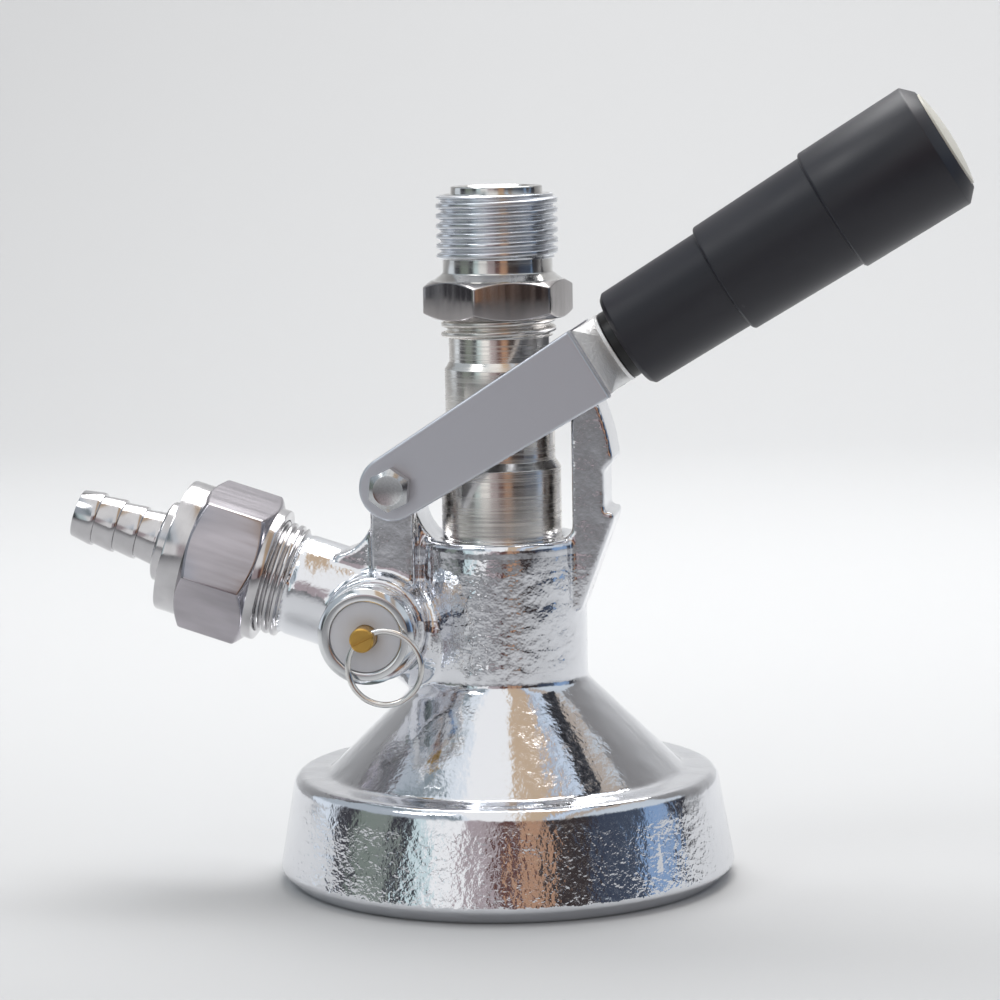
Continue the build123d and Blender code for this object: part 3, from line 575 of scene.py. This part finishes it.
# %% [markdown]
# The hexagon keeps the drawn bar's skin while the rest is turned bright, so the faces between
# the two chamfers get the second finish. Two materials on one mesh keep it closed.

# %% Drawn flats on the adapter


def second_finish(piece, finish, chosen):
    """Faces whose middle passes a test on (x, y, z) in mm take the second finish."""
    mesh = piece.data
    middles = np.empty(len(mesh.polygons) * 3)
    mesh.polygons.foreach_get("center", middles)
    mesh.materials.append(finish)
    mesh.polygons.foreach_set("material_index", chosen(middles.reshape(-1, 3) / MM).astype(np.int32))


second_finish(adapter, hex_plate, lambda p: (p[:, 2] < 110.5) & (np.hypot(p[:, 0], p[:, 1]) > 11.9))
print("adapter finishes:", [m.name for m in adapter.data.materials])

# %% [markdown]
# ## The probe
# The probe is a hollow nickel-plated spindle. Its lower guide runs in the body, a slimmer neck
# carries on up, and a thread at the top, again a sleeve, takes the adapter. Two flat-bottomed
# slots across it take the lever's drive pins. They could be cut with a boolean, but a slot is
# also just a smaller radius at some angles: the slot floor's distance over the angle's sine.

# %% Columns that meet the slots' edges
SLOT_FLOOR, SLOT_REACH, SLOT_HALF = 7.6, 4.8, 2.9
slot_edges = np.array([np.arctan2(SLOT_FLOOR, SLOT_REACH), np.arctan2(SLOT_FLOOR, -SLOT_REACH)])
near_edges = np.concatenate([slot_edges - 0.001, slot_edges + 0.001])
turned = np.sort(np.concatenate([np.linspace(0, 2 * pi, 120, endpoint=False), near_edges, near_edges + pi]))
print("points round the probe:", len(turned))

# %% Probe with slots and thread
PIN_REACH = 19.1
SLOT_MIDDLE = PIVOT[2] + PIN_REACH * sin(LEVER_ANGLE) + 0.1


def slot_radius(radius, angles):
    """The smaller of the turned radius and floor distance / |sin|, within the slot's reach."""
    across = SLOT_FLOOR / np.abs(np.sin(angles)).clip(1e-6)
    return np.where(np.abs(np.cos(angles)) * across <= SLOT_REACH, np.minimum(across, radius), radius)


lower = [(12.8, 6.3), (15.8, 6.3), (15.8, 8.6), (44.8, 8.6), (47.0, 11.0), (76.3, 11.0), (77.7, 10.0)]
slot_low, slot_high = SLOT_MIDDLE - SLOT_HALF, SLOT_MIDDLE + SLOT_HALF
in_slot = slot_radius(10.0, turned)
upper = [(slot_low - 0.02, 10.0), (slot_low, in_slot), (slot_high, in_slot), (slot_high + 0.02, 10.0),
         (94.4, 10.0), (95.8, 9.15), (109.0, 9.15)]
bore = [(109.2, 9.0), (109.2, 4.0), (11.4, 4.0), (11.4, 7.4), (12.4, 8.6), (12.8, 8.6)]
probe_rows = eased(section(lower + upper + bore, turned), 0.1)
add_piece("probe_spindle", spun(probe_rows, turned, PROBE), "probe", probe_plate, ["probe"])
neck_ribs = thread_sleeve(100.1, 108.8, 9.3, 10.5, BEER_PITCH, PROBE, start=0.0, fade=0.3)
add_piece("neck_thread", neck_ribs, "probe", probe_plate, crease=180.0)

# %% [markdown]
# ## The gas inlet
# A hose tail with four saw-tooth barbs is held to the body's neck by a union nut. The nut is
# cut from drawn hexagon bar, with a turned collar at each end. Both could be put together from
# cones and cylinders, but one grid for each keeps the corners eased all along.

# %% Union nut
NUT_TURN = 78.5
COLLAR = 12.5
HEX_LOW, HEX_HIGH = 47.2, 60.4
nut_angles = hexagon_angles(NUT_TURN)
nut_rows = section([(45.4, 10.7), (45.4, COLLAR), (HEX_LOW - 0.1, COLLAR)]
                   + hexagon_rows(HEX_LOW, HEX_HIGH, 25.4, nut_angles, NUT_TURN)
                   + [(HEX_HIGH + 0.1, COLLAR), (64.5, COLLAR), (64.5, 7.7), (60.3, 7.7), (60.3, 10.7)],
                   nut_angles)
nut = add_piece("union_nut_drawn", spun(eased(nut_rows, 0.4), nut_angles, INLET), "union_nut",
                barb_plate, ["inlet_nut"])


def along_inlet(p):
    """Station of each point, the axis point there, and the distance from it to the point."""
    station = (p - INLET[0]) @ INLET[1]
    foot = INLET[0] + station[:, None] * INLET[1]
    return station, foot, np.linalg.norm(p - foot, axis=1)


def on_flats(p):
    """True where a point's station lies on the hexagon and it is as far out as the collars."""
    station, _, away = along_inlet(p)
    return (station > HEX_LOW) & (station < HEX_HIGH) & (away > COLLAR - 0.05)


second_finish(nut, nut_plate, on_flats)

# %% Hose tail
TOOTH_LOW, TOOTH_STEP = 67.1, 4.2
tooth_starts = [TOOTH_LOW + TOOTH_STEP * k for k in range(5)]
teeth = [row for start, end in zip(tooth_starts, tooth_starts[1:])
         for row in ((start, 5.05), (start + 0.8, 5.05), (end - 0.02, 4.6))]
tail_rows = section([(57.52, 3.4), (57.52, 10.3), (60.12, 10.3), (60.12, 7.6), (66.7, 7.6), (TOOTH_LOW, 7.1)]
                    + teeth[:-1] + [(83.9, 4.45), (83.9, 3.4)], ROUND)
add_piece("hose_tail_turned", spun(eased(tail_rows, 0.14), ROUND, INLET), "body", barb_plate,
          ["hose_barb"])

# %% [markdown]
# ## The relief valve
# The valve's cap is turned bright with a bevelled front. A pale grey disc lies in its recess,
# and through it comes a slotted brass stem. A ring of spring wire hangs in a hole through the
# stem. Blender has a torus ready, but it lies flat at the origin, so the ring is worked out
# where it hangs: a circle carried round a circle.

# %% Valve cap and disc
CAP_RADIUS, CAP_BORE, RECESS, STEM_GAP, SHELF = 8.75, 5.4, 6.5, 2.25, 21.6
cap_rows = section([(9.5, 2.9), (9.5, 6.9), (15.52, 6.9), (15.52, 8.2), (16.1, CAP_RADIUS),
                    (17.6, CAP_RADIUS), (17.7, 8.6), (18.1, 8.6), (18.2, CAP_RADIUS), (22.7, CAP_RADIUS),
                    (23.6, 7.85), (23.6, 6.9), (23.5, RECESS), (22.3, RECESS), (22.3, STEM_GAP),
                    (SHELF, STEM_GAP), (SHELF, CAP_BORE), (11.5, CAP_BORE), (11.5, 2.9)], ROUND)
add_piece("valve_cap_turned", spun(eased(cap_rows, 0.13), ROUND, VALVE), "body", valve_plate,
          ["valve_housing"])
disc_rows = section([(22.32, STEM_GAP), (22.32, 6.45), (23.05, 6.45), (23.2, 6.3), (23.2, STEM_GAP)], ROUND)
add_piece("valve_disc_plain", spun(eased(disc_rows, 0.06), ROUND, VALVE), "body", disc_plastic,
          ["valve_disc"])

# %% Ring of wire


def hoop(centre, mean, wire, first, second):
    """Torus: centre + (mean + wire cos b) * outward direction at angle a + wire sin b * normal."""
    a = ROUND[:, None, None]
    b = np.linspace(0, 2 * pi, 16, endpoint=False)[None, :, None]
    radial = np.cos(a) * first + np.sin(a) * second
    return centre + (mean + wire * np.cos(b)) * radial + wire * np.sin(b) * np.cross(first, second)


ring_angle = radians(36.5)
ring_drop = np.array([sin(ring_angle), 0, -cos(ring_angle)])
ring_tangent = np.array([cos(ring_angle), 0, sin(ring_angle)])
stem_hole = VALVE[0] + VALVE[1] * 25.5
ring_centre = stem_hole + ring_drop * 6.45
add_piece("ring_of_wire", hoop(ring_centre, 6.65, 0.55, ring_drop, ring_tangent), "pull_ring",
          wire_bright, ["pull_ring"])

# %% [markdown]
# The stem's front end has a slot for a screwdriver. A slot across a full disc can't be a
# matter of radius alone, so here a boolean is the plain way: a thin box is taken away.

# %% Modifiers run on a loose mesh


def cut_from(mesh, points, faces):
    """A mesh less the solid between the given corners, by an exact boolean."""
    cutter_mesh = bpy.data.meshes.new("cutter")
    cutter_mesh.from_pydata([tuple(p * MM) for p in points], [], faces)
    cutter = bpy.data.objects.new("cutter", outward(cutter_mesh))
    scene.collection.objects.link(cutter)
    settings = {"object": cutter, "operation": "DIFFERENCE", "solver": "EXACT"}
    result = with_modifiers(mesh, ("BOOLEAN", settings))
    bpy.data.objects.remove(cutter)
    return result


def with_modifiers(mesh, *steps):
    """Runs modifiers on a mesh, each a (type, settings), and returns the finished mesh."""
    stand_in = bpy.data.objects.new("stand_in", mesh)
    scene.collection.objects.link(stand_in)
    for kind, settings in steps:
        modifier = stand_in.modifiers.new(kind.lower(), kind)
        for key, value in settings.items():
            setattr(modifier, key, value)
    evaluated = stand_in.evaluated_get(bpy.context.evaluated_depsgraph_get())
    finished = bpy.data.meshes.new_from_object(evaluated)
    bpy.data.objects.remove(stand_in)
    return finished


print("helpers: cut a box away, run modifiers")

# %% Stem with its slot
stem_rows = section([(12.92, 0), (12.92, 4.3), (14.0, 4.3), (14.0, 2.2), (27.0, 2.2), (27.3, 1.9), (27.3, 0)],
                    ROUND)
stem_mesh = grid_mesh("stem", spun(stem_rows, ROUND, VALVE))
slot_turn = radians(-25)
slot_along = cos(slot_turn) * VALVE[2] - sin(slot_turn) * np.cross(VALVE[1], VALVE[2])
slot_across = np.cross(VALVE[1], slot_along)
SLOT_LENGTH, SLOT_GAP = 6.0, 0.64
corners = [VALVE[0] + VALVE[1] * depth + slot_along * a * SLOT_LENGTH / 2 + slot_across * b * SLOT_GAP / 2
           for depth in (26.7, 28.0) for a, b in ((-1, -1), (1, -1), (1, 1), (-1, 1))]
box_faces = [(0, 1, 2, 3), (7, 6, 5, 4), (0, 4, 5, 1), (1, 5, 6, 2), (2, 6, 7, 3), (3, 7, 4, 0)]
stem_mesh = cut_from(stem_mesh, corners, box_faces)
place("stem_slotted", stem_mesh, "valve", brass, ["valve_stem"])

# %% [markdown]
# The valve's spring is hidden in the cap, but it has to give way when the stem is pulled. Its
# wire follows a helix. A stiff spring would run through the stem's collar, so the piece is
# squashed towards the shelf that it pushes against.

# %% Spring of the valve


def coil_of_wire(low, high, mean, wire, turns, axis):
    """Tube on a helix: its centre climbs evenly from low to high, `mean` from the axis.

    The wire's circle is (cos b) outwards + (sin b) along the axis, and it shrinks to a point at
    either end.
    """
    point, along, first, second = axis
    share = np.linspace(0, 1, turns * 40)
    share = np.concatenate([[0], share, [1]])[:, None, None]
    thick = np.full_like(share, wire)
    thick[[0, -1]] = 0
    a, b = share * turns * 2 * pi, np.linspace(0, 2 * pi, 12, endpoint=False)[None, :, None]
    outwards = np.cos(a) * first + np.sin(a) * second
    centre = point + along * (low + wire + share * (high - low - 2 * wire)) + mean * outwards
    return centre + thick * (np.cos(b) * outwards + np.sin(b) * along)


valve_coil = add_piece("valve_coil", coil_of_wire(14.05, 21.55, 3.7, 0.4, 4, VALVE), "body",
                       spring_wire, ["valve_spring"], crease=180.0)
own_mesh(valve_coil)

# %% [markdown]
# ## The pivot bolt
# A hexagon bolt holds the fork to the body's ear. Its head is chamfered so far that the end
# face is a full disc, slightly dished, with the six corners falling away round it. A cone cut
# from a prism would do the same, and so does a chamfer row that leans back at the corners.

# %% Pivot bolt
BOLT_TURN = -5.0
FACE, FACE_RADIUS = 19.7, 2.75
bolt_angles = hexagon_angles(BOLT_TURN)
head_radius = hexagon_radius(bolt_angles, 6.9, BOLT_TURN)
chamfer_station = FACE - (head_radius - FACE_RADIUS) * CHAMFER
bolt_rows = section([(-20.2, 0), (-20.2, 1.7), (-19.9, 2.0), (16.1, 2.0), (16.1, head_radius),
                     (chamfer_station, head_radius), (FACE, FACE_RADIUS), (19.62, 2.4), (19.6, 0)],
                    bolt_angles)
add_piece("bolt_forged", spun(bolt_rows, bolt_angles, BOLT), "body", bolt_zinc,
          ["pivot_bolt"], 20.0)

# %% [markdown]
# ## The handle
# The grip is a moulded tube in three steps that grow towards the hand's heel, with a bevel at
# the far end. A domed cap closes it, and a black collar guides the rod where it leaves the
# fork. Three cylinders would show a hard line at each step, so the profile leans at the steps
# and every corner is eased. The dome is part of a sphere: its radius follows from its rise.

# %% Grip
grip_rows = section([(48.2, 7.0), (48.2, 8.7), (49.05, 9.55), (69.2, 9.8), (69.2, 10.35), (69.6, 10.75),
                     (92.1, 11.2), (92.1, 11.5), (92.5, 11.9), (113.8, 12.15), (115.9, 9.95), (115.9, 9.32),
                     (113.5, 9.32), (113.5, 5.5), (104.0, 5.5), (104.0, 2.52), (56.4, 2.52), (56.4, 7.0)],
                    ROUND)
add_piece("grip_moulded", spun(eased(grip_rows, 0.16), ROUND, LEVER), "latch", grip_plastic,
          ["handle_grip"])

# %% Domed cap and collar
DOME_EDGE, DOME_TOP, DOME_WIDTH = 116.3, 117.3, 9.3
rise = DOME_TOP - DOME_EDGE
dome = (DOME_WIDTH ** 2 + rise ** 2) / (2 * rise)
out = np.linspace(0, 1, 14) * np.arcsin(DOME_WIDTH / dome)
dome_rows = [(DOME_TOP - dome * (1 - cos(a)), dome * sin(a)) for a in out]
plug_rows = section([(113.6, 0), (113.6, 9.2), (113.8, DOME_WIDTH), (116.1, DOME_WIDTH)], ROUND)
closed_rows = np.concatenate([plug_rows, section(dome_rows[::-1], ROUND)])
add_piece("cap_domed", spun(closed_rows, ROUND, LEVER), "latch", cap_plastic, ["end_cap"])
collar_rows = section([(43.82, 3.55), (43.82, 4.9), (46.12, 4.9), (46.12, 6.4), (46.4, 6.7), (53.0, 6.7),
                       (53.4, 6.3), (53.4, 2.55), (52.0, 2.55), (52.0, 3.55)], ROUND)
add_piece("collar_moulded", spun(eased(collar_rows, 0.12), ROUND, LEVER), "lever",
          collar_plastic, ["guide_collar"])

# %% [markdown]
# ## The cast body
# A casting has no sharp inside corners: metal flows round every junction. A bevel would need
# clean edge loops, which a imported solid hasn't. So it is copied, its loose triangles are
# merged, and it is rebuilt from small cubes (a voxel remesh). A few rounds of averaging each
# point with its neighbours soften the edges, and the turned end of the inlet neck is pulled
# back to the thread's root.

# %% Rebuild the body as a soft casting


def merged_copy(node):
    """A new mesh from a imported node, its loose triangles joined."""
    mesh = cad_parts[node].data.copy()
    work = bmesh.new()
    work.from_mesh(mesh)
    bmesh.ops.remove_doubles(work, verts=work.verts, dist=1e-6)
    work.to_mesh(mesh)
    work.free()
    mesh.materials.clear()
    return mesh


NECK_ROOT = 9.6
voxel = 0.45
casting = with_modifiers(merged_copy("coupler_body"),
                         ("REMESH", {"mode": "VOXEL", "voxel_size": voxel * MM, "adaptivity": 0.0}),
                         ("SMOOTH", {"factor": 0.5, "iterations": 5}),
                         ("DECIMATE", {"ratio": 0.28}))
spots = np.empty(len(casting.vertices) * 3)
casting.vertices.foreach_get("co", spots)
spots = spots.reshape(-1, 3) / MM
station, foot, away = along_inlet(spots)
neck = (station > 41.0) & (station < 46.0) & (away > 9.4) & (away < 12.0)
spots[neck] = (foot + (spots - foot) * (NECK_ROOT / away.clip(1e-6))[:, None])[neck]
casting.vertices.foreach_set("co", (spots * MM).ravel())
casting.update()
place("body_casting", casting, "body", body_plate, ["coupler_body"], 60.0)

# %% Male thread of the inlet neck
inlet_ribs = thread_sleeve(41.2, 47.2, 9.7, 10.6, 1.5, INLET, start=0.3, fade=0.5)
add_piece("inlet_thread_cut", inlet_ribs, "body", barb_plate, crease=180.0)

# %% [markdown]
# ## Floor, light and camera
# Bright metal shows nothing but what stands round it, so the room matters as much as the
# finish. The floor curves up into a pale backdrop, which is what the metal's edges mirror, and
# it has painted shade in front: it is darkened there as if the light fell off, and the metal
# mirrors that dark. The room is a sky worked out in two rings of bands: white windows,
# dark gaps and a warm band low down, and paler ones higher up. Real panels could stand there
# instead, but bands are quicker to move. A camera that sees the sky directly sees plain grey.
# Soft lights fill in.

# %% Floor and backdrop


def sweep_floor():
    """A floor that bends up into a wall: straight, a quarter circle, straight, carried along x."""
    bend = [(0.75 + 0.5 * sin(a), 0.5 - 0.5 * cos(a)) for a in np.linspace(0, pi / 2, 24)]
    line = np.array([(-1.6, 0.0)] + bend + [(1.25, 2.2)])
    sides = np.linspace(-2.2, 2.2, 9)
    grid = np.zeros((len(line), len(sides), 3))
    grid[..., 0] = sides
    grid[..., 1:] = line[:, None, :]
    return grid


floor_points = sweep_floor()
rows, columns = floor_points.shape[:2]
corner = (np.arange(rows - 1)[:, None] * columns + np.arange(columns - 1)).ravel()
floor_mesh = bpy.data.meshes.new("floor")
floor_mesh.from_pydata(floor_points.reshape(-1, 3).tolist(), [],
                       np.stack([corner, corner + 1, corner + columns + 1, corner + columns], 1).tolist())
floor_mesh.polygons.foreach_set("use_smooth", np.ones(len(floor_mesh.polygons), bool))
print("floor spans", floor_points.reshape(-1, 3).min(0), "to", floor_points.reshape(-1, 3).max(0))

# %% Paper, with painted shade in front


def paper_painted_dark_in_front():
    """Matt paper with painted shade: dark at Y = -0.75 m to pale at -0.15 m, as if the light fell off in
    front.
    """
    pale = (0.56, 0.565, 0.57)
    paper, tree, shader, coords = new_finish("paper_painted_dark_in_front", pale, 0.0, 0.7)
    to(tree, spread(tree, noise(tree, coords, 6.0), 0.66, 0.74), shader, "Roughness")
    # Painted shade: the paper is darkened towards the front as if the lamps' light fell off there, and the
    # bright metal mirrors that dark.
    depth = spread(tree, xyz_of(tree, coords)["Y"], 0.0, 1.0, -0.75, -0.15)
    tint(tree, depth, shader, (0.0, (0.20, 0.20, 0.205)), (0.66, (0.32, 0.32, 0.33)), (1.0, pale))
    return paper


floor_mesh.materials.append(paper_painted_dark_in_front())
floor = bpy.data.objects.new("floor", floor_mesh)
scene.collection.objects.link(floor)
print("floor's finish:", floor_mesh.materials[0].name)

# %% Room in bands
CAMERA_SIDE = radians(8.0)
world = bpy.data.worlds.new("studio_room")
scene.world = world
world.use_nodes = True
sky = world.node_tree
background = sky.nodes["Background"]
direction = sky.nodes.new("ShaderNodeTexCoord").outputs["Generated"]
facing = sky.nodes.new("ShaderNodeMapping")
facing.inputs["Rotation"].default_value = (0, 0, -CAMERA_SIDE)
sky.links.new(direction, facing.inputs["Vector"])
view = xyz_of(sky, facing.outputs["Vector"])
round_about = worked_out(sky, "ARCTAN2", view["X"], times(sky, view["Y"], -1.0))
print("room turned by", round(degrees(CAMERA_SIDE), 1), "degrees to face the camera")

# %% Low bands, by degrees round the coupler


def room_ramp(value, reach, stops):
    """Colours over a value that runs from -reach to reach, with stops at values in between."""
    share = spread(sky, value, 0.0, 1.0, -reach, reach)
    return colour_ramp(sky, share, [((at / reach + 1) / 2, colour) for at, colour in stops])


low_bands = room_ramp(worked_out(sky, "DEGREES", round_about), 180, [
    (-180, (0.80, 0.87, 0.95)), (-106, (0.80, 0.87, 0.95)),
    (-102, (0.06, 0.06, 0.07)), (-87, (0.06, 0.06, 0.07)),
    (-83, (0.22, 0.26, 0.23)), (-65, (0.24, 0.27, 0.25)),
    (-61, (0.05, 0.05, 0.06)), (-54, (0.05, 0.05, 0.06)),
    (-51, (0.65, 0.80, 0.82)), (-42, (0.70, 0.82, 0.85)),
    (-39, (1.0, 1.0, 1.0)), (-24, (1.0, 1.0, 1.0)),
    (-20, (0.45, 0.38, 0.40)), (-7, (0.42, 0.36, 0.37)),
    (-4, (0.12, 0.06, 0.06)), (4, (0.14, 0.07, 0.06)),
    (7, (0.50, 0.30, 0.20)), (18, (0.45, 0.27, 0.18)),
    (22, (0.05, 0.04, 0.04)), (42, (0.05, 0.04, 0.04)),
    (46, (0.05, 0.06, 0.09)), (72, (0.07, 0.09, 0.13)),
    (76, (0.25, 0.38, 0.60)), (95, (0.28, 0.40, 0.60)),
    (99, (0.05, 0.05, 0.06)), (113, (0.05, 0.05, 0.06)),
    (117, (0.80, 0.87, 0.95)), (180, (0.80, 0.87, 0.95))])
print("low bands ready")

# %% High bands, by how far to the side they lie
high_bands = room_ramp(view["X"], 1.0, [
    (-0.99, (0.45, 0.50, 0.55)), (-0.60, (0.45, 0.50, 0.55)),
    (-0.52, (0.25, 0.30, 0.33)), (-0.44, (0.25, 0.30, 0.33)),
    (-0.41, (0.80, 0.86, 0.92)), (-0.33, (0.85, 0.90, 0.95)),
    (-0.29, (1.0, 1.0, 1.0)), (0.05, (1.0, 1.0, 1.0)),
    (0.09, (0.62, 0.47, 0.33)), (0.31, (0.60, 0.46, 0.33)),
    (0.33, (0.45, 0.50, 0.60)), (0.36, (0.45, 0.52, 0.62)),
    (0.38, (0.65, 0.75, 0.88)), (0.46, (0.65, 0.75, 0.88)),
    (0.49, (0.50, 0.43, 0.37)), (0.58, (0.50, 0.43, 0.37)),
    (0.63, (0.62, 0.68, 0.74)), (0.99, (0.66, 0.72, 0.78))])
print("high bands ready")

# %% Both rings together


def mixed(factor, first, second):
    """first * (1 - factor) + second * factor, the second a node's colour or a fixed one."""
    mix = sky.nodes.new("ShaderNodeMix")
    mix.data_type = "RGBA"
    sky.links.new(factor, mix.inputs["Factor"])
    sky.links.new(first, mix.inputs["A"])
    if isinstance(second, tuple):
        mix.inputs["B"].default_value = (*second, 1.0)
    else:
        sky.links.new(second, mix.inputs["B"])
    return mix.outputs["Result"]


climb = sky.nodes.new("ShaderNodeMapRange")
climb.interpolation_type = "SMOOTHSTEP"
climb.inputs["From Min"].default_value = 0.20
climb.inputs["From Max"].default_value = 0.38
sky.links.new(view["Z"], climb.inputs["Value"])
both_rings = mixed(climb.outputs["Result"], low_bands, high_bands)
seen_directly = sky.nodes.new("ShaderNodeLightPath").outputs["Is Camera Ray"]
sky.links.new(mixed(seen_directly, both_rings, (0.72, 0.73, 0.74)), background.inputs["Color"])
background.inputs["Strength"].default_value = 1.0
print("room has two rings of bands, low and high, and is plain where it is seen directly")

# %% Soft lights


def soft_light(name, place_at, aim, size, power, colour=(1, 1, 1)):
    """A square area light at a point in metres, turned to face another point."""
    lamp = bpy.data.lights.new(name, "AREA")
    lamp.size = size
    lamp.energy = power
    lamp.color = colour
    holder = bpy.data.objects.new(name, lamp)
    holder.location = place_at
    holder.rotation_euler = (Vector(aim) - Vector(place_at)).to_track_quat("-Z", "Y").to_euler()
    scene.collection.objects.link(holder)
    return holder


soft_light("overhead", (0.02, 0.28, 0.62), (0.0, 0.22, 0.0), 0.5, 3.2)
soft_light("wall_wash", (0.0, 0.55, 1.1), (0, 1.25, 0.35), 0.8, 8)
soft_light("fill", (-0.5, -0.35, 0.8), (0, 0, 0.08), 0.3, 1.2)

# %% Camera
HEIGHT, DISTANCE, PITCH, ROLL = 147.28, 638.66, radians(6.90), radians(1.0)
ahead = Vector((-sin(CAMERA_SIDE) * cos(PITCH), cos(CAMERA_SIDE) * cos(PITCH), -sin(PITCH)))
level = Vector((cos(CAMERA_SIDE), sin(CAMERA_SIDE), 0))
upward = level.cross(ahead)
right = cos(ROLL) * level - sin(ROLL) * upward
top = sin(ROLL) * level + cos(ROLL) * upward
camera_data = bpy.data.cameras.new("camera")
camera_data.lens = 126.04
camera_data.sensor_width = 36
camera_data.shift_x = -0.0017
camera_data.clip_start = 0.05
camera = bpy.data.objects.new("camera", camera_data)
spot = Vector((DISTANCE * sin(CAMERA_SIDE), -DISTANCE * cos(CAMERA_SIDE), HEIGHT)) * MM
camera.matrix_world = Matrix.Translation(spot) @ Matrix((right, top, -ahead)).transposed().to_4x4()
scene.collection.objects.link(camera)
scene.camera = camera
scene.view_settings.view_transform = "Standard"
print("camera stands", round(spot.length, 3), "m away")
